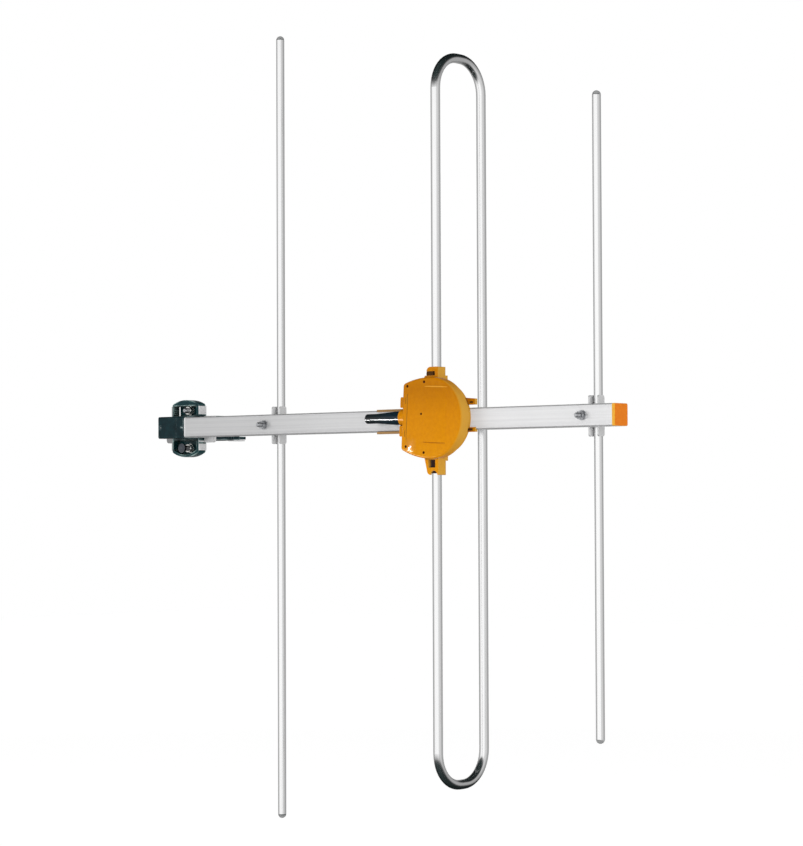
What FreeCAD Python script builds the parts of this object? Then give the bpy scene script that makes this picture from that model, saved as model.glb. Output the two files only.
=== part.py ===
import FreeCAD, Part
import math
import os
import Sketcher

# A three element aerial for the digital radio band, fed at a folded dipole.
# Millimetres. The mast clamp's bore is the Z axis, the boom runs along +X in
# front of it, the elements stand along Z, and -Y is the side the box faces.

# Driving dimensions
SIZES = {
    # Boom: a square aluminium tube
    "boom_side": 20.0,
    "boom_wall": 1.5,
    "boom_corner": 1.5,
    "boom_end": 544.0,
    # End cap
    "cap_flange": 3.2,
    "cap_round": 0.9,
    "cap_plug_depth": 14.0,
    "cap_plug_wall": 1.8,
    "plug_clearance": 0.1,
    # Where the elements cross the boom, from the mast's axis
    "reflector_station": 128.0,
    "dipole_station": 352.4,
    "director_inset": 32.5,
    # Straight elements: thin tubes with closed round ends
    "rod_diameter": 8.0,
    "rod_wall": 1.0,
    "reflector_length": 770.0,
    "director_length": 582.0,
    # Folded dipole
    "tube_diameter": 9.0,
    "tube_wall": 1.0,
    "loop_height": 684.0,
    "leg_spacing": 68.0,
    "bend_radius": 31.0,
    "feed_gap": 26.0,
    "leg_clearance": 0.5,
    # Clips that seat the straight elements behind the boom
    "clip_length": 36.8,
    "clip_wall": 1.5,
    "clip_web": 1.2,
    "clip_ear_reach": 2.7,
    "clip_depth": 6.8,
    "clip_corner": 2.4,
    "clip_slack": 0.1,
    # Element screws, their washers and nuts
    "screw_diameter": 4.0,
    "screw_hole_slack": 0.15,
    "screw_head_diameter": 8.0,
    "screw_head_height": 2.6,
    "screw_tip_reach": 9.3,
    "screw_washer_diameter": 9.0,
    "screw_washer_height": 0.8,
    "screw_nut_flats": 7.0,
    "screw_nut_height": 3.2,
    # Boom bracket
    "block_side": 22.0,
    "block_left": 17.0,
    "block_right": 18.5,
    "block_round": 1.8,
    "spigot_length": 20.0,
    "slot_inset": 2.4,
    "slot_width": 1.4,
    "slot_height": 3.3,
    "notch_length": 3.6,
    "notch_height": 1.0,
    "notch_depth": 0.8,
    "parting_x": 7.8,
    "parting_width": 0.6,
    "parting_depth": 0.3,
    "shell_half_width": 18.5,
    "shell_top_shoulder": 23.8,
    "shell_top_crest": 28.4,
    "shell_foot_shoulder": 24.6,
    "shell_foot_crest": 29.6,
    "shell_depth": 10.0,
    "shell_floor": 2.0,
    "shell_left_wall": 1.2,
    "shell_right_wall": 3.3,
    "shell_foot_wall": 2.5,
    "shell_web": 1.2,
    "shell_corner": 1.8,
    "upper_pocket_top": 22.4,
    "rib_pitch": 1.98,
    "rib_height": 1.0,
    "rib_reach": 0.8,
    "drain_right": 15.3,
    "drain_inset": 0.5,
    # Angle brackets at the shell's sides, which carry the jaw bolts
    "flank_wall": 1.2,
    "flank_inset": 1.8,
    "wing_reach": 33.5,
    "wing_top": 12.0,
    "wing_bottom": 15.0,
    "wing_corner": 3.0,
    "wing_depth": 3.6,
    # Jaws round the mast
    "mast_diameter": 38.0,
    "jaw_gap": 2.0,
    "jaw_depth": 24.0,
    "jaw_wall": 4.0,
    "jaw_reach": 32.5,
    "jaw_half_height": 12.0,
    "jaw_flange": 9.0,
    "spot_slack": 0.6,
    "ear_plate": 5.6,
    "ear_half_width": 9.0,
    "ear_end": 27.5,
    "rear_crown": 7.0,
    "tooth_depth": 1.0,
    "tooth_pitch_deg": 18.0,
    # Clamp bolts
    "bolt_hole_slack": 0.25,
    "bolt_tip_chamfer": 0.8,
    "jaw_bolt_x": 26.0,
    "jaw_bolt_diameter": 6.0,
    "jaw_bolt_stub": 0.8,
    "jaw_head_flats": 10.0,
    "jaw_head_height": 4.0,
    "jaw_nut_flats": 10.0,
    "jaw_nut_height": 4.8,
    "jaw_washer_diameter": 12.0,
    "jaw_washer_height": 1.4,
    "upper_bolt_z": 17.7,
    "lower_bolt_z": 20.5,
    "bracket_bolt_diameter": 5.0,
    "upper_bolt_stub": 4.8,
    "lower_bolt_stub": 8.8,
    "bracket_head_flats": 8.0,
    "bracket_head_height": 2.4,
    "sunk_head_slack": 0.2,
    "bracket_nut_flats": 8.0,
    "bracket_nut_height": 4.0,
    "bracket_washer_diameter": 9.2,
    "bracket_washer_height": 1.0,
    "captive_end_diameter": 9.2,
    "captive_end_height": 2.0,
    # Dipole box: a base on the boom and a cover over it
    "box_centre_z": 1.0,
    "box_radius": 37.5,
    "box_flat_x": 33.5,
    "box_flat_half": 30.3,
    "box_corner": 3.5,
    "box_turn_deg": 3.0,
    "base_floor": 2.5,
    "base_rim": 6.3,
    "base_inset": 3.4,
    "base_flange": 1.5,
    "cover_depth": 9.0,
    "cover_wall": 1.8,
    "cover_round": 2.0,
    "panel_left": 7.4,
    "panel_right": 19.4,
    "panel_top": 28.6,
    "panel_bottom": 22.1,
    "panel_rise": 0.5,
    "seam_x": 27.6,
    "seam_half": 21.4,
    "seam_width": 0.6,
    "seam_depth": 0.4,
    "groove_x": 29.6,
    "groove_z": 15.3,
    "groove_width": 0.9,
    "groove_height": 5.8,
    "pip_radius": 1.1,
    "pip_depth": 0.9,
    "top_pip_x": 8.2,
    "top_pip_z": 33.0,
    "high_pip_x": 28.0,
    "high_pip_z": 28.4,
    "middle_pip_x": 10.4,
    "middle_pip_z": 3.4,
    "low_pip_x": 27.3,
    "low_pip_z": 27.3,
    "foot_pip_x": 5.7,
    "foot_pip_z": 32.0,
    # Sleeve tabs, where the dipole's legs leave the box
    "tab_half_width": 7.75,
    "tab_taper": 1.8,
    "tab_bend": 4.5,
    "tab_nib": 1.2,
    "upper_tab_splay": 1.8,
    "lower_tab_splay": 1.2,
    "tab_top": 48.1,
    "tab_bottom": 51.3,
    "tab_front": 24.9,
    "tab_rear": 10.8,
    "tab_rear_round": 5.0,
    "tab_root": 1.7,
    "window_right": 4.0,
    "upper_window_foot": 40.0,
    "upper_window_height": 4.0,
    "lower_window_left": 4.3,
    "lower_window_foot": 37.3,
    "lower_window_height": 7.2,
    "arch_x": 2.0,
    "arch_drop": 0.3,
    "arch_radius": 4.4,
    "seal_wall": 0.8,
    "seal_inset": 1.5,
    # Saddle of the base, which straddles the boom
    "arm_reach": 77.5,
    "arm_top": 0.8,
    "arm_wall": 1.5,
    "arm_grip": 3.5,
    "upper_lip": 1.4,
    "lower_lip": 2.1,
    "ear_reach": 40.1,
    "ear_root": 28.0,
    "ear_gap": 2.7,
    "ear_rise": 9.2,
    "ear_tip_rise": 8.2,
    "ear_drop": 2.2,
    "latch_place": 13.3,
    "latch_height": 10.0,
    "latch_reach": 4.0,
    "latch_depth": 6.8,
    "latch_corner": 1.4,
    # Circuit board and feed
    "board_wall": 1.2,
    "board_left": 17.0,
    "board_right": 25.0,
    "board_half_height": 24.0,
    "board_round": 3.0,
    "core_diameter": 12.0,
    "core_bore": 5.0,
    "core_height": 2.0,
    "core_place": 14.0,
    "feed_screw_inset": 6.0,
    "feed_screw_diameter": 3.0,
    "feed_head_diameter": 6.0,
    "feed_head_height": 1.2,
    "box_screw_diameter": 4.0,
    "box_boss_diameter": 8.0,
    "box_boss_height": 6.0,
    # Cable outlet
    "outlet_z": 2.0,
    "outlet_rise": 0.7,
    "collar_diameter": 16.2,
    "collar_reach": 38.1,
    "socket_diameter": 9.4,
    "socket_bore": 4.6,
    "socket_bore_depth": 6.0,
    "socket_pin_diameter": 0.9,
    "socket_pin_length": 4.0,
    "socket_flange_diameter": 12.0,
    "socket_flange": 2.4,
    "socket_slack": 0.5,
    "socket_reach": 51.0,
    "boot_mouth_diameter": 12.8,
    "boot_end_diameter": 9.2,
    "boot_taper_start": 45.5,
    "boot_taper_end": 69.5,
    "boot_end": 86.0,
    "boot_wall": 1.7,
    "boot_bore_diameter": 5.4,
}

doc = FreeCAD.newDocument("dab_antenna")
sheet = doc.addObject("Spreadsheet::Sheet", "Sizes")


class Value:
    """A number and the formula that ties it to the sheet, worked out together."""

    def __init__(self, formula, number):
        self.formula = formula
        self.number = number

    def joined(self, sign, other, number):
        return Value("(%s %s %s)" % (self.formula, sign, other.formula), number)

    def __add__(self, other):
        other = as_value(other)
        return self.joined("+", other, self.number + other.number)

    def __sub__(self, other):
        other = as_value(other)
        return self.joined("-", other, self.number - other.number)

    def __mul__(self, other):
        other = as_value(other)
        return self.joined("*", other, self.number * other.number)

    def __truediv__(self, other):
        other = as_value(other)
        return self.joined("/", other, self.number / other.number)

    def __radd__(self, other):
        return as_value(other) + self

    def __rsub__(self, other):
        return as_value(other) - self

    def __rmul__(self, other):
        return as_value(other) * self

    def __neg__(self):
        return self * -1


def as_value(item):
    """A plain number as a Value; a Value as it is."""
    if isinstance(item, Value):
        return item
    return Value("%.9g" % item, float(item))


def root(value):
    return Value("sqrt(%s)" % value.formula, math.sqrt(value.number))


def sine(value):
    return Value("sin(%s)" % value.formula, math.sin(math.radians(value.number)))


def cosine(value):
    return Value("cos(%s)" % value.formula, math.cos(math.radians(value.number)))


def write_sheet():
    """One row for each size: its name, and its number under an alias."""
    for row, (name, number) in enumerate(SIZES.items(), start=1):
        sheet.set("A%d" % row, name)
        sheet.set("B%d" % row, str(number))
        sheet.setAlias("B%d" % row, name)
    doc.recompute()


def size(name):
    return Value("Sizes.%s" % name, float(sheet.get(name)))


def bind(item, place, value):
    item.setExpression(place, as_value(value).formula)


# Drawing: an outline is a list of corners, and a corner with a third and a
# fourth entry is reached by an arc of that radius that turns left or right

PLANES = {"X": "YZ_Plane", "Y": "XZ_Plane", "Z": "XY_Plane"}
NORMALS = {"X": 1, "Y": -1, "Z": 1}
NO_POINT, START, END, CENTRE = range(4)


def new_body(label, x=0, y=0, z=0):
    """A named sub-part drawn about its own origin and placed at x, y, z."""
    body = doc.addObject("PartDesign::Body", label)
    body.Label = label
    place(body, x, y, z)
    return body


def place(item, x, y, z):
    for axis, value in (("x", x), ("y", y), ("z", z)):
        bind(item, "Placement.Base.%s" % axis, value)


def new_sketch(body, axis, level, turn=None):
    """A sketch square to an axis of its body, turned about the body's Y axis."""
    sketch = body.newObject("Sketcher::SketchObject", "Outline")
    planes = [item for item in body.Origin.OriginFeatures if item.Role == PLANES[axis]]
    sketch.AttachmentSupport = (planes[0], "")
    sketch.MapMode = "FlatFace"
    along = as_value(level) * NORMALS[axis]
    if turn is not None:
        about = FreeCAD.Vector(0, 0, -1) if axis == "Y" else FreeCAD.Vector(0, 1, 0)
        sketch.AttachmentOffset = FreeCAD.Placement(FreeCAD.Vector(), about, turn.number)
        bind(sketch, "AttachmentOffset.Rotation.Angle", turn)
        if axis == "Z":
            bind(sketch, "AttachmentOffset.Base.x", along * sine(turn))
            along = along * cosine(turn)
    bind(sketch, "AttachmentOffset.Base.z", along)
    return sketch


def pin_point(sketch, line, point, x, y):
    """Ties a point of a sketch to its two coordinates."""
    for kind, value in (("DistanceX", as_value(x)), ("DistanceY", as_value(y))):
        constraint = Sketcher.Constraint(kind, -1, 1, line, point, value.number)
        number = sketch.addConstraint(constraint)
        sketch.setExpression("Constraints[%d]" % number, value.formula)


def arc_centre(start, end, radius, left):
    """Centre of the arc under half a turn from start to end."""
    half = (end - start) / 2
    side = math.sqrt(max(radius ** 2 - half.Length ** 2, 0.0))
    across = FreeCAD.Vector(-half.y, half.x, 0).normalize()
    return start + half + across * (side if left else -side)


def draw(sketch, corners, closed=True):
    """Draws lines and arcs through the corners, each tied to the sheet."""
    points = [FreeCAD.Vector(as_value(c[0]).number, as_value(c[1]).number, 0) for c in corners]
    order = list(range(len(corners) if closed else len(corners) - 1))
    ends = []
    for index in order:
        after = (index + 1) % len(corners)
        start, end = points[index], points[after]
        if len(corners[after]) == 2:
            line = sketch.addGeometry(Part.LineSegment(start, end), False)
            ends.append((line, START, END))
            continue
        radius = as_value(corners[after][2])
        left = corners[after][3] == "left"
        centre = arc_centre(start, end, radius.number, left)
        first, last = (start, end) if left else (end, start)
        angles = [math.atan2(p.y - centre.y, p.x - centre.x) for p in (first, last)]
        circle = Part.Circle(centre, FreeCAD.Vector(0, 0, 1), radius.number)
        line = sketch.addGeometry(Part.ArcOfCircle(circle, angles[0], angles[1]), False)
        number = sketch.addConstraint(Sketcher.Constraint("Radius", line, radius.number))
        sketch.setExpression("Constraints[%d]" % number, radius.formula)
        ends.append((line, START, END) if left else (line, END, START))
    for index, (line, start, end) in enumerate(ends):
        pin_point(sketch, line, start, *corners[index][:2])
        if closed or index + 1 < len(ends):
            after = ends[(index + 1) % len(ends)]
            sketch.addConstraint(Sketcher.Constraint("Coincident", line, end, after[0], after[1]))
        else:
            pin_point(sketch, line, end, *corners[index + 1][:2])


def draw_circle(sketch, x, y, radius):
    x, y, radius = as_value(x), as_value(y), as_value(radius)
    centre = FreeCAD.Vector(x.number, y.number, 0)
    circle = Part.Circle(centre, FreeCAD.Vector(0, 0, 1), radius.number)
    line = sketch.addGeometry(circle, False)
    pin_point(sketch, line, CENTRE, x, y)
    number = sketch.addConstraint(Sketcher.Constraint("Radius", line, radius.number))
    sketch.setExpression("Constraints[%d]" % number, radius.formula)


def draw_all(sketch, outlines):
    """An outline is a list of corners, or (x, y, radius) for a circle."""
    for outline in outlines:
        if isinstance(outline, tuple):
            draw_circle(sketch, *outline)
        else:
            draw(sketch, outline)


def rectangle(x_low, y_low, x_high, y_high):
    return [(x_low, y_low), (x_high, y_low), (x_high, y_high), (x_low, y_high)]


def rounded_square(half, radius):
    """A square about the origin with rounded corners."""
    inner = half - radius
    corners = []
    for x_sign, y_sign in ((1, 1), (-1, 1), (-1, -1), (1, -1)):
        before, after = (half * x_sign, inner * y_sign), (inner * x_sign, half * y_sign)
        if x_sign != y_sign:
            before, after = after, before
        corners.append(before)
        corners.append(after + (radius, "left"))
    return corners


def pad(body, axis, outlines, low, high, turn=None):
    """Adds material from low to high along an axis of the body."""
    feature_sketch = new_sketch(body, axis, high if axis == "Y" else low, turn)
    draw_all(feature_sketch, outlines)
    feature = body.newObject("PartDesign::Pad", "Pad")
    feature.Profile = feature_sketch
    bind(feature, "Length", as_value(high) - low)
    doc.recompute()
    return feature


def pocket(body, axis, outlines, low, high, turn=None):
    """Cuts material away from low to high along an axis of the body."""
    before = body.Shape.Volume
    feature_sketch = new_sketch(body, axis, low if axis == "Y" else high, turn)
    draw_all(feature_sketch, outlines)
    feature = body.newObject("PartDesign::Pocket", "Pocket")
    feature.Profile = feature_sketch
    bind(feature, "Length", as_value(high) - low)
    doc.recompute()
    if not 0 < body.Shape.Volume < before:
        raise RuntimeError("a pocket of %s cuts nothing, or all of it" % body.Label)
    return feature


def turned(body, corners, axis):
    """Revolves a half section, given as (radius, place along the axis)."""
    feature_sketch = new_sketch(body, "Y" if axis == "Z" else "Z", 0)
    if axis == "X":
        draw(feature_sketch, [swapped(corner) for corner in corners])
    else:
        draw(feature_sketch, corners)
    feature = body.newObject("PartDesign::Revolution", "Turned")
    feature.Profile = feature_sketch
    feature.ReferenceAxis = (feature_sketch, ["H_Axis" if axis == "X" else "V_Axis"])
    feature.Angle = 360
    doc.recompute()
    return feature


def swapped(corner):
    """A corner with its two coordinates exchanged, which mirrors its arc."""
    if len(corner) == 2:
        return (corner[1], corner[0])
    side = "right" if corner[3] == "left" else "left"
    return (corner[1], corner[0], corner[2], side)


def round_edges(body, radius, wanted):
    """Rounds the edges of the body's last feature that a test picks."""
    tip = body.Tip
    names = ["Edge%d" % n for n, edge in enumerate(tip.Shape.Edges, start=1) if wanted(edge)]
    if not names:
        raise RuntimeError("no edge of %s to round" % body.Label)
    feature = body.newObject("PartDesign::Fillet", "Round")
    feature.Base = (tip, names)
    bind(feature, "Radius", radius)
    doc.recompute()
    return feature


def lies_at(edge, axis, level):
    """Whether an edge lies wholly at one level of an axis, in its body."""
    box = edge.BoundBox
    low = {"X": box.XMin, "Y": box.YMin, "Z": box.ZMin}[axis]
    high = {"X": box.XMax, "Y": box.YMax, "Z": box.ZMax}[axis]
    near = 0.01
    return abs(low - level.number) < near and abs(high - level.number) < near


def runs_along(edge, axis):
    """Whether an edge is straight and runs along an axis."""
    box = edge.BoundBox
    spans = {"X": box.XLength, "Y": box.YLength, "Z": box.ZLength}
    return edge.Length - spans[axis] < 0.001


def cylinder(name, x, y, z, radius, height):
    """A cylinder that runs along +Y from its place."""
    item = doc.addObject("Part::Cylinder", name)
    bind(item, "Radius", radius)
    bind(item, "Height", height)
    lay_along_y(item, x, y, z)
    return item


def cone(name, x, y, z, first_radius, last_radius, height):
    item = doc.addObject("Part::Cone", name)
    bind(item, "Radius1", first_radius)
    bind(item, "Radius2", last_radius)
    bind(item, "Height", height)
    lay_along_y(item, x, y, z)
    return item


def hexagon(name, x, y, z, flats, height):
    """A six-sided prism along +Y, measured across its flats."""
    item = doc.addObject("Part::Prism", name)
    item.Polygon = 6
    bind(item, "Circumradius", flats / root(as_value(3)))
    bind(item, "Height", height)
    lay_along_y(item, x, y, z)
    return item


def lay_along_y(item, x, y, z):
    item.Placement.Rotation = FreeCAD.Rotation(FreeCAD.Vector(1, 0, 0), -90)
    place(item, x, y, z)


def fuse(name, items):
    item = doc.addObject("Part::MultiFuse", name)
    item.Shapes = items
    return item


def cut(name, base, tool):
    item = doc.addObject("Part::Cut", name)
    item.Base = base
    item.Tool = tool
    return item


def group(label, items):
    """Like pieces that share one name, each a solid of its own."""
    item = doc.addObject("Part::Compound", label)
    item.Links = items
    item.Label = label
    return item


write_sheet()

# Places that several sub-parts share, measured from the boom's axis
boom_half = size("boom_side") / 2
boom_inside = boom_half - size("boom_wall")
plug_half = boom_inside - size("plug_clearance")
block_half = size("block_side") / 2
block_right = size("block_right")
shell_half = size("shell_half_width")
bore_radius = size("mast_diameter") / 2
shell_back = block_half + size("shell_depth")
boom_y = -(shell_back + size("jaw_depth") + size("jaw_gap") / 2)
rod_radius = size("rod_diameter") / 2
rod_y = boom_half + size("clip_web") + rod_radius
screw_hole = size("screw_diameter") / 2 + size("screw_hole_slack")
bolt_hole = {
    owner: size(owner + "_bolt_diameter") / 2 + size("bolt_hole_slack")
    for owner in ("jaw", "bracket")
}
jaw_bolt_places = [(size("jaw_bolt_x") * sign, as_value(0)) for sign in (-1, 1)]
bracket_bolt_levels = [size("upper_bolt_z"), -size("lower_bolt_z")]
tube_radius = size("tube_diameter") / 2
floor_front = -(boom_half + size("base_floor"))
leg_y = floor_front - size("leg_clearance") - tube_radius
rim_front = floor_front - size("base_rim")
cover_front = rim_front - size("cover_depth")
dipole_x = size("dipole_station")
crossings = {
    "reflector": size("reflector_station"),
    "director": size("boom_end") - size("director_inset"),
}
box_turn = size("box_turn_deg")
seal_radius = tube_radius + size("seal_wall")
outlet_y = rim_front - size("outlet_rise") - size("leg_clearance")
outlet_z = size("outlet_z") - size("box_centre_z")
wall_x = -size("box_flat_x")
board_back = leg_y - tube_radius
base_wall_inset = size("base_inset") + size("cover_wall")
sleeve_foot = size("box_radius") - base_wall_inset - size("cover_wall")
sunk_depth = size("bracket_head_height") + size("sunk_head_slack")


def make_boom():
    body = new_body("boom", 0, boom_y, 0)
    inner_corner = size("boom_corner") / 2
    outlines = [
        rounded_square(boom_half, size("boom_corner")),
        rounded_square(boom_inside, inner_corner),
    ]
    pad(body, "X", outlines, block_right, size("boom_end"))
    holes = [(crossing, 0, screw_hole) for crossing in crossings.values()]
    box_hole = size("box_screw_diameter") / 2 + size("screw_hole_slack")
    holes.append((dipole_x, 0, box_hole))
    pocket(body, "Y", holes, -boom_half, boom_half)
    return body


def make_end_cap():
    """A plug with a square flange that finishes the boom's open end."""
    body = new_body("boom_end_cap", size("boom_end"), boom_y, 0)
    pad(body, "X", [rounded_square(boom_half, size("boom_corner"))], 0, size("cap_flange"))
    round_edges(body, size("cap_round"), lambda edge: lies_at(edge, "X", size("cap_flange")))
    plug_corner = size("boom_corner") / 2
    pad(body, "X", [rounded_square(plug_half, plug_corner)], -size("cap_plug_depth"), 0)
    hollow = plug_half - size("cap_plug_wall")
    pocket(body, "X", [rectangle(-hollow, -hollow, hollow, hollow)], -size("cap_plug_depth"), 0)
    return body


def make_rod(label, station, length):
    """A straight element: a thin tube, closed and rounded at both ends."""
    body = new_body(label, station, boom_y + rod_y, 0)
    inner = rod_radius - size("rod_wall")
    top = length / 2
    shoulder = top - rod_radius
    turned(body, [
        (0, top),
        (rod_radius, shoulder, rod_radius, "right"),
        (rod_radius, -shoulder),
        (0, -top, rod_radius, "right"),
        (0, size("rod_wall") - top),
        (inner, -shoulder, inner, "left"),
        (inner, shoulder),
        (0, top - size("rod_wall"), inner, "left"),
    ], axis="Z")
    pocket(body, "Y", [(0, 0, screw_hole)], -rod_radius, rod_radius)
    return body


def make_clip(label, station):
    """A bent channel: two flanges hold the rod, and a web seats on the boom."""
    body = new_body(label, station, boom_y, 0)
    inner = rod_radius + size("clip_slack")
    outer = inner + size("clip_wall")
    half = size("clip_length") / 2
    front = boom_half - size("clip_ear_reach")
    back = boom_half + size("clip_depth")
    web_back = boom_half + size("clip_web")
    notch = boom_half + size("clip_slack")
    corner = size("clip_corner")
    side = [
        (boom_half, -notch),
        (front, -notch),
        (front, corner - half),
        (front + corner, -half, corner, "left"),
        (back - corner, -half),
        (back, corner - half, corner, "left"),
        (back, half - corner),
        (back - corner, half, corner, "left"),
        (front + corner, half),
        (front, half - corner, corner, "left"),
        (front, notch),
        (boom_half, notch),
    ]
    pad(body, "X", [side], -outer, outer)
    pocket(body, "X", [rectangle(web_back, -half, back, half)], -inner, inner)
    for sign in (-1, 1):
        low, high = (notch, half) if sign > 0 else (-half, -notch)
        pocket(body, "X", [rectangle(front, low, web_back, high)], -inner, inner)
    pocket(body, "Y", [(0, 0, screw_hole)], boom_half, web_back)
    return body


def make_screw(label, station):
    """A pan head screw: its head on the rod, its tip past the nut."""
    body = new_body(label, station, boom_y, 0)
    head = size("screw_head_diameter") / 2
    crown = size("screw_head_height") / 2
    shank = size("screw_diameter") / 2
    seat = rod_y + rod_radius
    tip = -(boom_half + size("screw_tip_reach"))
    chamfer = size("screw_diameter") / 8
    turned(body, [
        (0, tip),
        (shank - chamfer, tip),
        (shank, tip + chamfer),
        (shank, seat),
        (head, seat),
        (head, seat + crown),
        (head - crown, seat + size("screw_head_height"), crown, "left"),
        (0, seat + size("screw_head_height")),
    ], axis="Y")
    slot = head / 2
    thin = size("screw_diameter") / 8
    top = seat + size("screw_head_height")
    cross = [
        (-slot, -thin), (-thin, -thin), (-thin, -slot), (thin, -slot), (thin, -thin), (slot, -thin),
        (slot, thin), (thin, thin), (thin, slot), (-thin, slot), (-thin, thin), (-slot, thin),
    ]
    pocket(body, "Y", [cross], top - crown, top)
    return body


def make_washer(label, x, y, z, diameter, bore, height):
    plate = cylinder("Disc", x, y, z, diameter / 2, height)
    hole = cylinder("Bore", x, y, z, bore, height)
    item = cut(label, plate, hole)
    item.Label = label
    return item


def make_nut(label, x, y, z, flats, bore, height):
    """A six-sided nut with its corners turned off at both faces."""
    blank = hexagon("Blank", x, y, z, flats, height)
    corner = flats / root(as_value(3))
    edge = (corner - flats / 2) / 2
    drum = fuse("Drum", [
        cone("Cone", x, y, z, flats / 2, flats / 2 + edge * 2, edge),
        cylinder("Drum", x, y + edge, z, corner, height - edge * 2),
        cone("Cone", x, y + height - edge, z, flats / 2 + edge * 2, flats / 2, edge),
    ])
    shaped = doc.addObject("Part::MultiCommon", "Shaped")
    shaped.Shapes = [blank, drum]
    item = cut(label, shaped, cylinder("Bore", x, y, z, bore, height))
    item.Label = label
    return item


def make_element_fasteners(name, station):
    """The washer and nut on the boom's near face."""
    washer_y = boom_y - boom_half - size("screw_washer_height")
    nut_y = washer_y - size("screw_nut_height")
    washer = make_washer(
        name + "_washer", station, washer_y, as_value(0),
        size("screw_washer_diameter"), screw_hole, size("screw_washer_height"))
    nut = make_nut(
        name + "_nut", station, nut_y, as_value(0),
        size("screw_nut_flats"), size("screw_diameter") / 2, size("screw_nut_height"))
    return [washer, nut]


def make_dipole():
    """One tube bent into a long loop, open where the cable feeds it."""
    body = new_body("folded_dipole", dipole_x, boom_y, 0)
    back_y = leg_y + size("leg_spacing")
    bend = size("bend_radius")
    feed = size("feed_gap") / 2
    straight = size("loop_height") / 2 - tube_radius - bend
    crown = straight + bend
    spine = new_sketch(body, "X", 0)
    draw(spine, [
        (leg_y, feed),
        (leg_y, straight),
        (leg_y + bend, crown, bend, "right"),
        (back_y - bend, crown),
        (back_y, straight, bend, "right"),
        (back_y, -straight),
        (back_y - bend, -crown, bend, "right"),
        (leg_y + bend, -crown),
        (leg_y, -straight, bend, "right"),
        (leg_y, -feed),
    ], closed=False)
    section = new_sketch(body, "Z", feed)
    draw_circle(section, 0, leg_y, tube_radius)
    draw_circle(section, 0, leg_y, tube_radius - size("tube_wall"))
    feature = body.newObject("PartDesign::AdditivePipe", "Loop")
    feature.Profile = section
    feature.Spine = spine
    doc.recompute()
    hole_z = feed + size("feed_screw_inset")
    hole = size("feed_screw_diameter") / 2
    near = leg_y - tube_radius
    pocket(body, "Y", [(0, hole_z, hole), (0, -hole_z, hole)], near, leg_y)
    return body


def arch_radius(half_width, rise):
    """Radius of the arc that rises over a chord of twice half_width."""
    return (half_width * half_width + rise * rise) / (rise * 2)


def dome():
    """The shell's outline: flat sides between an arched top and foot."""
    top = size("shell_top_shoulder")
    foot = size("shell_foot_shoulder")
    return [
        (shell_half, top),
        (-shell_half, top, arch_radius(shell_half, size("shell_top_crest") - top), "left"),
        (-shell_half, -foot),
        (shell_half, -foot, arch_radius(shell_half, size("shell_foot_crest") - foot), "left"),
    ]


def make_bracket():
    """The block that carries the boom and the domed shell behind it."""
    body = new_body("boom_bracket", 0, boom_y, 0)
    pad(body, "X", [rounded_square(block_half, size("block_round"))], -size("block_left"), block_right)
    spigot = rounded_square(plug_half, size("boom_corner") / 2)
    pad(body, "X", [spigot], block_right, block_right + size("spigot_length"))
    pad(body, "Y", [dome()], block_half, shell_back)
    side = size("block_side").number
    round_edges(
        body, size("shell_corner"),
        lambda edge: runs_along(edge, "Y") and abs(edge.BoundBox.ZMin) > side / 2 + 1)

    # Two open pockets, above and below the block
    left = size("shell_left_wall") - shell_half
    right = shell_half - size("shell_right_wall")
    web = block_half + size("shell_web")
    top = size("upper_pocket_top")
    foot = size("shell_foot_wall") - size("shell_foot_shoulder")
    rise = size("shell_foot_crest") - size("shell_foot_shoulder")
    floor = shell_back - size("shell_floor")
    upper = [(left, web), (right, web), (right, top), (left, top)]
    lower = [
        (left, -web), (left, foot),
        (right, foot, arch_radius((right - left) / 2, rise), "left"), (right, -web),
    ]
    pocket(body, "Y", [upper, lower], block_half, floor)

    # Five ribs across the upper pocket's left wall, and a drain slot in its floor
    rib = size("rib_height")
    levels = [top - rib - size("rib_pitch") * count for count in range(5)]
    ribs = [rectangle(left, level, left + size("rib_reach"), level + rib) for level in levels]
    pad(body, "Y", ribs, block_half + rib, floor)
    drain = rectangle(
        -shell_half - 1, web + size("drain_inset"), -size("drain_right"), top - size("drain_inset"))
    pocket(body, "Y", [drain], floor, shell_back)

    # Moulding marks on the block's near face: a slot, a notch and a parting line
    slot = size("slot_height") / 2
    slot_left = size("slot_inset") - size("block_left")
    notch = size("notch_height") / 2
    marks = [
        rectangle(slot_left, -slot, slot_left + size("slot_width"), slot),
        rectangle(block_right - size("notch_length"), -notch, block_right, notch),
    ]
    pocket(body, "Y", marks, -block_half, size("notch_depth") - block_half)
    parting = size("parting_x")
    level = block_half - size("block_round")
    line = rectangle(parting, -level, parting + size("parting_width"), level)
    pocket(body, "Y", [line], -block_half, size("parting_depth") - block_half)

    # Bolt holes through the shell's floor
    holes = [(0, level, bolt_hole["bracket"]) for level in bracket_bolt_levels]
    pocket(body, "Y", holes, floor, shell_back)
    return body


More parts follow.
